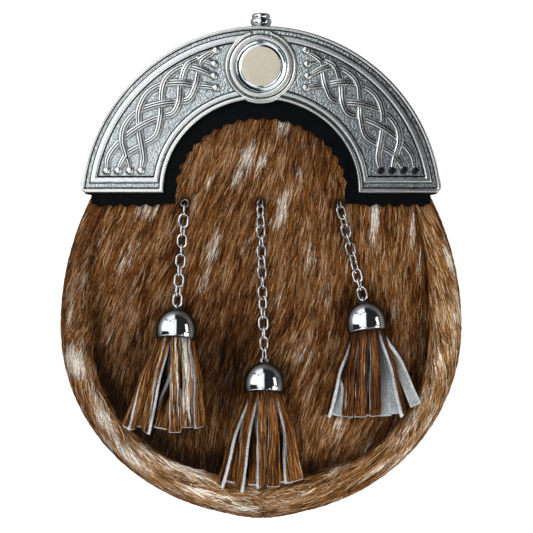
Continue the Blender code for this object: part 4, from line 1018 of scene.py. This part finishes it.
def cantleEdges():  # the arch's edge, with the roundel's lobe and the rounded feet, and the unit arc of the rim
    turn = archTurns(cantle["footY"], cantle["radius"], cantle["along"])
    outer = np.stack([np.cos(turn), np.sin(turn)], -1)
    turn = np.linspace(math.pi, 0, cantle["along"])
    x, rise = cantle["archHalfWidth"] * np.cos(turn), np.sin(turn) * cantle["archHeight"]
    y = cantle["archY"] + cantle["archHeight"] * np.sin(turn) - 1.1 * mm * np.exp(-rise / (1.5 * mm))
    lobe = cantle["lobe"] ** 2 - x**2
    dip = cantle["roundelY"] - np.sqrt(np.maximum(lobe, 0))
    return np.stack([x, np.where(lobe > 0, np.minimum(y, dip), y)], -1), outer


def makeCantle():
    n, m = cantle["along"], cantle["across"]
    inner, outer = cantleEdges()
    centre = np.array([0, cantle["centreY"]])
    rim = outer * cantle["radius"] + centre
    share = np.linspace(0, 1, m)[None, :, None]
    flat = inner[:, None] * (1 - share) + rim[:, None] * share
    fromRim = (1 - share[..., 0]) * np.linalg.norm(rim - inner, axis=1)[:, None]
    height, ground, polish, lines = cantleRelief(flat[..., 0], flat[..., 1])
    top = np.concatenate([bendFeet(flat, fromRim), (cantle["groundZ"] + height)[..., None]], -1)
    hollow = np.clip((boxBlur(height, 2) - height) / (0.27 * mm), 0, 1)
    for strand in knotTable:  # painted dark reflection: the right foot's pellets are made black through the patina and groove masks
        px, py = pelletPlace(strand[0])
        near = np.hypot(flat[..., 0] - px * mm, flat[..., 1] - cantle["centreY"] - py * mm) < 1.65 * mm
        hollow, polish = np.where(near, 1.0, hollow), np.where(near, 0.0, polish)
        lines[near, :2] = 0.67, 1.0
    wall, skirt, base = cantle["skirtWall"], cantle["skirtZ"], cantle["baseZ"]
    steps = (  # down the skirt's outside, round its lower edge and up its inside: inset in mm, height
        (0.03, 34.6 * mm), (0.06, 33.0 * mm), (0.15, 29.0 * mm), (0.2, skirt + 0.4 * mm), (0.5, skirt),
        (1.2, skirt), (1.5, skirt + 0.4 * mm), (wall / mm, base - 0.4 * mm), (wall / mm + 0.4, base))
    sides = []
    for inset, z in steps:
        ring = bendFeet(outer * (cantle["radius"] - inset * mm) + centre, np.full(n, inset * mm))
        sides.append(np.column_stack([ring, np.full(n, z)]))
    sides.append(np.column_stack([inner + 0.6 * mm * unit(rim - inner), np.full(n, base)]))
    sides.append(np.column_stack([inner, np.full(n, base + 0.5 * mm)]))
    loop = np.concatenate([top, np.stack(sides, 1)], axis=1)
    count = loop.shape[1]
    skin = loop.reshape(-1, 3), gridQuads(n, count, False, True)
    shape = joinParts([skin, *(footFace(top[end], end) for end in (0, -1))])
    relief, marks = (np.tile(plain, (len(shape[0]), 1)) for plain in ((0.0, 0.0, 0.5), (0.5, 0.0, 0.0)))
    for tones, shown in ((relief, np.stack([ground, hollow, polish], -1)), (marks, lines)):
        tones[: n * count].reshape(n, count, 3)[:, :m] = shown
    addPiece("castCantle", shape, "pewter", ["cantle"], relief=relief, marks=marks)
    print("cantle made")


def footFace(row, end):  # the upright face of a foot, down to the plate's and skirt's undersides
    away = cantle["radius"] - np.hypot(row[:, 0], row[:, 1] - cantle["centreY"])
    onSkirt = (away < cantle["skirtWall"]) & (row[:, 1] < cantle["footY"] + cantle["corner"] * 1.1)
    low = np.where(onSkirt, cantle["skirtZ"], cantle["baseZ"])
    under = np.column_stack([row[:, :2], np.minimum(low, row[:, 2])])
    points = np.stack([row, under] if end == 0 else [under, row])
    return points.reshape(-1, 3), gridQuads(2, len(row))[:, ::-1]


def makeMedallion():  # a flat dull face, a polished bevel round it; radii and heights in mm
    face, floor, radius = 35.6, 34.4, 11.9
    turn = np.linspace(0, 1, 14)
    dish = [(9.3 + 2.4 * t, face - 0.38 * math.sin(math.pi * t**0.8) + 0.25 * t**3) for t in turn]
    profile = [(0, face), (3, face), (6, face), (9.1, face), *dish, (radius, face + 0.2)]
    profile += [(radius, floor + 0.2), (radius - 0.2, floor), (0, floor)]
    points, quads, tris = turnedPiece(np.array(profile) * mm, 120)
    bevel = (np.hypot(points[:, 0], points[:, 1]) > 9.25 * mm)[:, None]
    points[:, 1] += cantle["roundelY"]
    addPiece("medallionDish", (points, quads, tris), "disc", ["medallion"], tone=bevel)


knobShape = {
    "cap": ((0, 1), (0.4, 1), (0.66, 0.97), (0.82, 0.88), (0.88, 0.78), (0.88, 0.68), (0.80, 0.64)),
    **metres(z=29.1, baseY=112.1, height=6.3, radius=5.0, post=1.2, depth=5.0),
}


def makeKnob():  # squat bulge under a rounded cap, on a hidden post
    h, r, post, depth = (knobShape[key] for key in ("height", "radius", "post", "depth"))
    cap = [(across * r, up * h) for across, up in knobShape["cap"]]
    turns = np.linspace(0.25, 2.9, 14)
    ball = [(r * (0.78 + 0.22 * math.sin(t)), (0.33 + 0.28 * math.cos(t)) * h) for t in turns]
    stem = [(0.84 * r, 0.0), (post, 0.0), (post, -depth), (0, -depth)]
    points, quads, tris = turnedPiece(cap + ball + stem, 64)
    turned = np.stack([points[:, 0], points[:, 2] + knobShape["baseY"], -points[:, 1] + knobShape["z"]], -1)
    addPiece("knobTurned", (turned, quads, tris), "chrome", ["knob"])


chainShape = metres(length=7.1, width=5.0, wire=0.95, eye=1.7, up=2.9)
bellShape = {
    "tilt": math.radians(14), **metres(radius=9.5, height=14.5, shoulder=4.5, wall=1.0, ring=1.5, hook=2.3),
}
mouthReach = bellShape["hook"] + bellShape["height"]  # from the chain's hook to the bell's mouth
stripTable = {  # place round the bell, end across and along from the mouth, height, width, turn, and how pale
    "left": (
        (-100, -23.4, 40.8, 2.6, 4.6, -50, 0.0), (-66, -20.6, 41.8, 3.6, 4.8, 62, 0.0),
        (-140, -17.6, 40.4, 2.2, 5.0, 25, 0.0), (-32, -14.4, 42.8, 4.6, 5.6, -50, 0.15),
        (180, -7.4, 41.3, 1.5, 6.2, 0, -0.2), (2, -0.6, 43.0, 4.4, 5.8, 6, 0.30),
        (36, 5.2, 40.8, 3.6, 5.2, 4, 0.44), (142, 4.4, 40.0, 1.4, 5.4, 0, 0.0),
        (78, 11.0, 40.8, 2.4, 5.4, 34, 0.12),
    ),
    "centre": (
        (-78, -20.6, 43.1, 3.4, 5.4, -68, 0.0), (-112, -16.4, 41.2, 1.6, 5.6, -10, 0.0),
        (-40, -11.8, 45.0, 4.2, 5.6, -60, 0.0), (-160, -4.6, 42.8, 1.4, 6.0, 0, -0.2),
        (-6, -1.4, 43.6, 3.8, 4.8, 50, 0.0), (28, 4.2, 43.4, 4.4, 6.2, 4, 0.12),
        (150, 8.6, 41.4, 1.4, 5.6, 0, -0.2), (62, 15.2, 40.6, 3.6, 6.0, 12, 0.0),
        (104, 11.6, 41.6, 2.2, 4.8, 48, 0.0),
    ),
    "right": (
        (-84, -18.6, 38.4, 2.8, 5.0, -66, 0.0), (-118, -14.2, 38.2, 1.6, 6.0, 172, 0.0),
        (-48, -9.2, 39.0, 4.0, 5.0, -8, 0.0), (-14, -3.2, 39.0, 4.8, 5.8, 4, 0.0),
        (172, 1.2, 38.2, 1.4, 5.4, 40, 0.0), (22, 3.8, 38.6, 4.6, 5.4, 10, 0.08),
        (132, 8.6, 38.4, 1.6, 5.6, 178, 0.0), (98, 13.4, 37.2, 2.4, 5.2, 165, 0.0),
        (58, 16.8, 38.2, 3.8, 4.8, 70, 0.0), (78, 22.2, 33.4, 2.8, 5.2, 190, 0.0),
    ),
}


def bellOuter(count):  # elliptic dome over a straight shoulder, as radii and heights over the mouth
    turns = np.linspace(math.pi / 2, 0, count)
    dome = bellShape["height"] - bellShape["shoulder"]
    radii = 0.98 * bellShape["radius"] * np.cos(turns)
    return list(zip(radii, bellShape["shoulder"] + dome * np.sin(turns)))


def bellPlace(name):  # the bell rests on the hide by its shoulder, its mouth tilted up
    tassel = hanging[name]
    lean, tilt = math.radians(tassel["lean"]), bellShape["tilt"]
    flat = np.array([math.sin(lean), -math.cos(lean), 0.0])
    along = flat * math.cos(tilt) + np.array([0, 0, math.sin(tilt)])
    hook = np.array([*tassel["hook"], 0.0])
    rest = hook + flat * (bellShape["hook"] + bellShape["height"] / 2)
    hide = float(frontLevel(rest[0], rest[1]))
    low = max(r * math.cos(tilt) + h * math.sin(tilt) for r, h in bellOuter(5) + [(bellShape["radius"], 0.0)])
    hook[2] = hide + 1.5 * pouch["gap"] + low - mouthReach * math.sin(tilt)
    return frameAt(hook, along, 0.0), hide


def fromMouth(place, points):  # points over a bell's mouth, Z towards its crown, into the bell's place
    return placed(np.stack([mouthReach - points[:, 2], points[:, 1], points[:, 0]], -1), place)


def chainLine(name):  # from the pin's eye down near the hide, then up to the bell's ring
    place, _ = bellPlace(name)
    pin, hook = np.array(hanging[name]["pin"]), place[1]
    start = pin + unit(hook[:2] - pin) * chainShape["eye"]
    share = np.linspace(0, 1, 200)
    flat = start + (hook[:2] - start) * share[:, None]
    hide = frontLevel(flat[:, 0], flat[:, 1])
    up = chainShape["up"] + (hook[2] - hide[-1] - chainShape["up"]) * ease((share - 0.5) / 0.5)
    return np.column_stack([flat, hide + up])


def makeChain(name):
    line = chainLine(name)
    travelled = travelAlong(line)
    turns = hanging[name]["turns"]
    reach = chainShape["length"] / 2 - 1.5 * chainShape["wire"] - pouch["gap"]
    pitch = (travelled[-1] - 2 * reach) / (len(turns) - 1)
    points, quads = wireOval(chainShape["length"], chainShape["width"], chainShape["wire"])
    links = []
    for i, turn in enumerate(turns):
        middle = reach + i * pitch
        places = middle - pitch / 2, middle, middle + pitch / 2
        before, here, after = np.stack([np.interp(places, travelled, line[:, k]) for k in range(3)], -1)
        links.append((placed(points, frameAt(here, after - before, math.radians(turn))), quads))
    nodes = [f"{name}_chain_link_{i + 1:02d}" for i in range(len(turns))]
    addPiece(f"{name}Chain", joinParts(links), "chrome", nodes)


def makePin(name):  # eye and shank, and the near-black washer under the hide
    hook = chainLine(name)[0]
    pin = np.array([*hanging[name]["pin"], 0.0])
    top = pouch["front"] - pouch["wall"] - pouch["gap"]
    back = pin + (pin - np.array([hook[0], hook[1], 0.0]))
    eyeBack = np.array([back[0], back[1], pouch["front"] + 0.9 * mm])
    along, wire = hook - eyeBack, chainShape["wire"]
    turn = math.radians(hanging[name]["turns"][0] + 90)
    points, quads = wireOval(np.linalg.norm(along) + wire, 2 * chainShape["eye"] + wire, wire, 14, 12)
    eye = placed(points, frameAt((hook + eyeBack) / 2, along, turn)), quads
    disc = turnedPiece(np.array([(0, 0), (3.2, 0), (3.6, -0.2), (3.6, -0.8), (0, -0.8)]) * mm + (0, top), 40)
    disc[0][:, :2] += pin[:2]
    shank, low = 0.6 * mm, top - 0.4 * mm
    rod = turnedPiece([(0, eyeBack[2]), (shank, eyeBack[2]), (shank, low), (0, low)], 20)
    rod[0][:, :2] += back[:2]
    addPiece(f"{name}Pin", joinParts([eye, rod]), "dullChrome", [f"{name}_eye_pin"])
    addPiece(f"{name}Washer", disc, "nearBlack")


def makeBell(name):  # thin cup curling in to its rim, and its ring
    place, _ = bellPlace(name)
    r, wall, shoulder, bore = bellShape["radius"], bellShape["wall"], bellShape["shoulder"], 0.25 * mm
    curl = [(r * (0.98 - 0.07 * (1 - h / 3.6) ** 2), h * mm) for h in (3.3, 2.9, 2.5, 2.1, 1.7, 1.3, 0.9, 0.5)]
    lip = curl[-1][0] - bore
    rolled = [(lip + bore * math.cos(t), bore + bore * math.sin(t)) for t in np.linspace(0.6, -2.6, 8)]
    inside = r - 2.2 * wall
    hollow = [(inside * math.cos(t), shoulder + 7.8 * mm * math.sin(t)) for t in np.linspace(0.2, 1.4, 8)]
    profile = bellOuter(30) + curl + rolled + [(inside, 0.8 * mm), (inside, shoulder)] + hollow
    points, quads, tris = turnedPiece(profile + [(0, bellShape["height"] - 2 * wall)], 96)
    cup = fromMouth(place, points), quads, tris
    size = 2 * bellShape["ring"] + chainShape["wire"]
    points, quads = wireOval(size, size, chainShape["wire"], 14, 12)
    along = place[0][:, 0]
    turn = math.radians(hanging[name]["turns"][-1] + 90)
    ring = placed(points, frameAt(place[1] + along * bellShape["ring"], along, turn)), quads
    addPiece(f"{name}Bell", joinParts([cup, ring]), "bell", [f"{name}_bell"])
    # a near-black band just inside the bell's mouth: painted shadow under its rim
    band = ((0.08, 0.6), (0.06, 0.2), (0.2, -0.1), (0.5, -0.05), (0.5, 0.3))  # inwards from the lip's edge, up
    points, *faces = turnedPiece([(lip + bore - inwards * mm, up * mm) for inwards, up in band], 96)
    addPiece(f"{name}BellMouthShadow", (fromMouth(place, points), *faces), "nearBlack")


tasselCoat = {
    "steps": 40, "strands": 850, "splay": 0.025, "roll": 0.5, "glow": (0.6, 1.5),
    **metres(thick=1.8, root=3.2, ring=5.4, length=(8, 15), width=(0.20, 0.40), rise=0.45),
}
suedeTones = {"face": (0.42, 0.45, 0.46), "edge": (0.80, 0.83, 0.86), "skin": (0.07, 0.03, 0.012)}
tasselTones = {
    "left": ((0.035, 0.011, 0.003), (0.25, 0.085, 0.014), (0.52, 0.27, 0.10)),
    "centre": ((0.040, 0.012, 0.003), (0.25, 0.080, 0.012), (0.50, 0.23, 0.07)),
    "right": ((0.028, 0.009, 0.003), (0.14, 0.042, 0.010), (0.33, 0.14, 0.05)),
}


def stripLine(place, hide, row, steps=5):  # middle, normal and width of one strip at a few places
    along, side, up = place[0].T
    mouth = place[1] + along * mouthReach
    around, endTurn = math.radians(row[0]), math.radians(row[5])
    outward = up * math.cos(around) + side * math.sin(around)
    root = mouth + outward * tasselCoat["ring"]
    end = np.array([mouth[0] + row[1] * mm, mouth[1] - row[2] * mm, hide + row[3] * mm])
    out = []
    for share in np.linspace(0, 1, steps):
        run = (share - 0.5 / (steps - 1)) / (1 - 0.5 / (steps - 1))
        middle, tangent = root - along * 3 * mm, along
        if share > 0:
            middle = root + (end - root) * run + outward * (math.sin(math.pi * run) * (1 - run) * 4 * mm)
            tangent = unit(end - root) * run + along * (1 - run)
        tangent = unit(tangent)
        turn = around + (endTurn - around) * float(ease(share))
        lateral = unit(np.cross((0, 0, 1), tangent))
        normal = np.cross(tangent, lateral) * math.cos(turn) + lateral * math.sin(turn)
        wide = tasselCoat["root"] + (row[4] * mm - tasselCoat["root"]) * share
        across, through = np.cross(normal, tangent), normal * tasselCoat["thick"] / 2
        corners = [middle + across * a * wide / 2 + through * b for a in (-1, 1) for b in (-1, 1)]
        below = min(c[2] - hideTop(c[0], c[1]) for c in corners)
        middle = middle + np.array([0, 0, max(0.0, 1.5 * pouch["gap"] - below)])
        out.append([middle, normal, np.array([wide, 0, 0])])
    return np.array(out)


def hideTop(x, y):  # the higher of the front and, near the seam, the rim's crest
    rim = float(lifted(y, pouch["crest"])) if seamShare(x, y) > 0.93 else 0.0
    return max(float(frontLevel(x, y)), rim)


stripSection = np.array([  # across and through a strip, as shares: its cut edges lean to show beside the hair
    (-1, -0.5), (-1, -0.1), (-0.88, 0.40), (-0.78, 0.5), (-0.4, 0.5), (0.4, 0.5), (0.78, 0.5), (0.88, 0.40),
    (1, -0.1), (1, -0.5), (0.45, -0.5), (-0.45, -0.5)])


def stripShell(middle, normal, across, tangent, wide, number):  # the section along a strip, closed at both ends
    steps, sides, thick = tasselCoat["steps"], len(stripSection), tasselCoat["thick"]
    ragged = 0.3 * mm * (valueNoise(np.arange(float(steps)), np.full(steps, number * 7.0), 5.0, 60) - 0.5)
    cup = -0.2 * mm * stripSection[:, 0] ** 2
    ring = middle[:, None] + across[:, None] * ((wide / 2 + ragged)[:, None] * stripSection[:, 0])[..., None]
    ring = ring + normal[:, None] * (stripSection[:, 1] * thick + cup)[None, :, None]
    lower = np.maximum(stripSection[:, 1] + 0.2, 0) * 0.8 * thick
    tip = ring[-1:] + 0.8 * mm * tangent[-1] - lower[None, :, None] * normal[-1]
    ring = np.concatenate([ring, ring[-1:] + 0.05 * mm * tangent[-1], tip])
    points = np.concatenate([ring.reshape(-1, 3), [ring[0].mean(0), ring[-1].mean(0)]])
    return points, gridQuads(len(ring), sides, False, True), endFans(sides, sides * len(ring))[:, [1, 0, 2]]


def stripColours():  # cut edges, dark skin under the hair, and the napped face, lighter towards the tip
    edge, skin, face = (suedeTones[key] for key in ("edge", "skin", "face"))
    fade = np.linspace(0.5, 1.3, tasselCoat["steps"])[:, None, None]
    shown = np.array([edge] * 3 + [skin] * 4 + [edge] * 3 + [face] * 2) * np.ones_like(fade)
    shown[:, 10:] *= fade
    shown[:, [0, 1, 2, 7, 8, 9]] *= 0.6 + 0.35 * fade
    return np.concatenate([shown.reshape(-1, 3), [edge] * (2 * len(stripSection) + 2)])


def makeTassel(name):
    place, hide = bellPlace(name)
    shells, hairs = [], []
    for number, row in enumerate(stripTable[name]):
        steps = smoothRows(stripLine(place, hide, row), tasselCoat["steps"])
        middle, normal, wide = steps[:, 0], unit(steps[:, 1]), steps[:, 2, 0]
        tangent = unit(np.gradient(middle, axis=0))
        across = unit(np.cross(normal, tangent))
        strip = middle, np.cross(tangent, across), across, tangent, wide
        shells.append(stripShell(*strip, number))
        hairs.append(stripHair(*strip[:3], wide, number, row[6], tasselTones[name]))
    head = turnedPiece(np.array([(0, 4.2), (7.0, 4.2), (7.0, -0.4), (0, -0.8)]) * mm, 48)
    head = fromMouth(place, head[0]), *head[1:]  # the plug that the bell grips
    tones = np.concatenate([stripColours()] * len(shells) + [np.tile(suedeTones["skin"], (len(head[0]), 1))])
    addPiece(f"{name}TasselStrips", joinParts([*shells, head]), "suede", [f"{name}_tassel"], tone=tones)
    addHair(f"{name}TasselHair", "tasselHair", [np.concatenate(part) for part in zip(*hairs)])


def readAlong(values, at):  # rows of a strip read at fractional places
    return np.stack([np.interp(at, np.arange(len(values)), column) for column in values.T], -1)


def stripHair(middle, normal, across, wide, number, pale, tones):  # sleek hair on a strip, cut flush
    count, last = tasselCoat["strands"], tasselCoat["steps"] - 1
    start = rng.uniform(-0.02, 0.95, count) * last
    side = rng.uniform(-0.5, 0.5, count)
    step = np.linalg.norm(middle[-1] - middle[0]) / last
    length = np.minimum(rng.uniform(*tasselCoat["length"], count), (last - 0.05 - start) * step)
    splay = rng.normal(0, tasselCoat["splay"], count)
    rise = rng.uniform(0.1, 1.0, count) ** 1.5 * tasselCoat["rise"]
    level = 0.5 * tasselCoat["thick"] - 0.05 * mm - 0.35 * mm * (2 * side) ** 4
    knots = []
    for share in strandShares:
        at = np.clip(start + length * share / step, 0, last)
        swell = ease((12 - at) / 10)  # fuller near the bell
        reach = 0.5 * np.interp(at, np.arange(len(wide)), wide) + 0.1 * mm
        off = np.clip(side * 2 * reach + splay * length * share, -reach, reach) * (1 + 0.5 * swell)
        up = level + rise * math.sin(share * 2.5) + 0.75 * mm * swell
        place, aside, above = (readAlong(line, at) for line in (middle, across, normal))
        knots.append(place + aside * off[:, None] + above * up[:, None])
    knots = np.stack(knots, 1)
    shade = 0.32 * valueNoise(side * 9.0, start / 16.0 + number * 9.0, 1.0, 71)
    fine = 0.30 * valueNoise(side * 18.0, start / 24.0 + number * 9.0, 1.0, 73)
    shade += fine + 0.38 * rng.uniform(0, 1, count)
    colour = threeTones(shade, *tones, 0.51, 0.12, 0.54, 0.14)
    streak = 0.7 * valueNoise(side * 9.0 - start / 6.0, start / 30.0 + number * 5.0, 1.0, 72)
    streak += 0.3 * rng.uniform(0, 1, count)
    reach = 1 - 0.75 * ease((start / last - 0.6) / 0.3)
    share = ease((pale * reach - streak + 0.16) / 0.14)[:, None]
    colour = colour * (1 - share) + np.array(hideTones["white"]) * share
    colour = colour * (0.3 + 0.7 * ease(start / 4))[:, None]  # painted shadow, darker under the bell
    strands = strandsAlong(tasselCoat, knots, readAlong(normal, np.clip(start, 0, last)))
    return *strands, colour * rng.uniform(*tasselCoat["glow"], (count, 1))


makeFront()
makeRim()
makeBack()
makeLoops()
makeBacking()
makeCantle()
makeMedallion()
makeKnob()
for tasselName in hanging:
    makeChain(tasselName)
    makePin(tasselName)
    makeBell(tasselName)
    makeTassel(tasselName)
print("chains, bells and tassels made")


studio = {
    "frameWidth": 250.0 * mm, "centre": (2.6 * mm, -0.5 * mm), "height": 1.15, "plane": 29 * mm,
    "world": (0.85, 0.92, 1.0), "worldStrength": 0.03,
    "floor": (0.48, 0.49, 0.50), "floorGlow": 0.9, "floorHalf": 4.0, "sensor": 36.0,
    "panels": (  # name, place, aim, size, brightness, colour
        ("overhead", (-0.25, 0.39, 0.60), (-0.25, 0.39, 0.0), (0.50, 1.02), 1.12, (0.94, 0.98, 1.0)),
        ("window", (-0.86, 0.45, 0.50), (0.0, 0.45, 0.0), (0.78, 2.10), 1.45, (0.96, 0.98, 1.0)),
        ("far", (-0.72, 1.45, 0.45), (-0.24, 0.0, 0.30), (1.10, 0.90), 1.1, (0.96, 0.98, 1.0)),
        ("lowLeft", (-0.23, -0.32, 0.58), (0.0, 0.0, 0.0), (0.36, 0.34), 1.4, (1.0, 1.0, 1.0)),
        ("lowRight", (0.26, -0.36, 0.50), (0.0, 0.0, 0.0), (0.40, 0.30), 1.6, (1.0, 0.98, 0.95)),
        ("sideRight", (0.85, -0.45, 0.50), (0.0, 0.0, 0.0), (0.80, 0.60), 2.2, (1.0, 0.97, 0.92)),
        ("lowSide", (0.90, 0.22, 0.42), (0.0, 0.0, 0.0), (0.50, 0.30), 1.4, (1.0, 0.98, 0.95)),
    ),
}


def addPanel(name, place, aim, size, brightness, colour):  # a lamp's power is 4 x brightness x area
    lamp = bpy.data.lights.new(name, "AREA")
    lamp.shape, lamp.size, lamp.size_y, lamp.color = "RECTANGLE", size[0], size[1], colour
    lamp.energy = 4.0 * brightness * size[0] * size[1]
    obj = bpy.data.objects.new(name, lamp)
    obj.location = place
    obj.rotation_euler = (Vector(aim) - Vector(place)).to_track_quat("-Z", "Y").to_euler()
    obj.visible_camera = False
    bpy.context.scene.collection.objects.link(obj)


def makeFloor():  # a pale plane that glows for the camera alone
    material, tree, place = newMaterial("paleFloor", Roughness=0.8, Specular_IOR_Level=0.1)
    glow = times(tree, addNode(tree, "LightPath").outputs["Is Camera Ray"], studio["floorGlow"])
    colour = makeCloud(tree, place, 3.0, 3.0, *shades(studio["floor"], 0.97, 1.03), 0.2)
    shader = tree.nodes["Principled BSDF"]
    feed(tree, shader, Base_Color=colour, Emission_Color=(1, 1, 1), Emission_Strength=glow)
    mesh = bpy.data.meshes.new("floor")
    half = studio["floorHalf"]
    corners = [(-half, -half, 0), (half, -half, 0), (half, half, 0), (-half, half, 0)]
    mesh.from_pydata(corners, [], [(0, 1, 2, 3)])
    mesh.materials.append(material)
    obj = bpy.data.objects.new("floor", mesh)
    bpy.context.scene.collection.objects.link(obj)


def makeStudio():
    scene = bpy.context.scene
    world = bpy.data.worlds.new("studio")
    world.use_nodes = True
    feed(world.node_tree, world.node_tree.nodes["Background"], studio["world"], studio["worldStrength"])
    scene.world = world
    for panel in studio["panels"]:
        addPanel(*panel)
    makeFloor()
    camera = bpy.data.cameras.new("camera")
    camera.sensor_width = studio["sensor"]
    camera.lens = studio["sensor"] * (studio["height"] - studio["plane"]) / studio["frameWidth"]
    camera.clip_start, camera.clip_end = 0.05, 20.0
    view = bpy.data.objects.new("camera", camera)
    view.location = (*studio["centre"], studio["height"])
    scene.collection.objects.link(view)
    scene.camera = view
    scene.view_settings.view_transform = "Standard"
    scene.view_settings.look = "None"


makeStudio()
print("done")
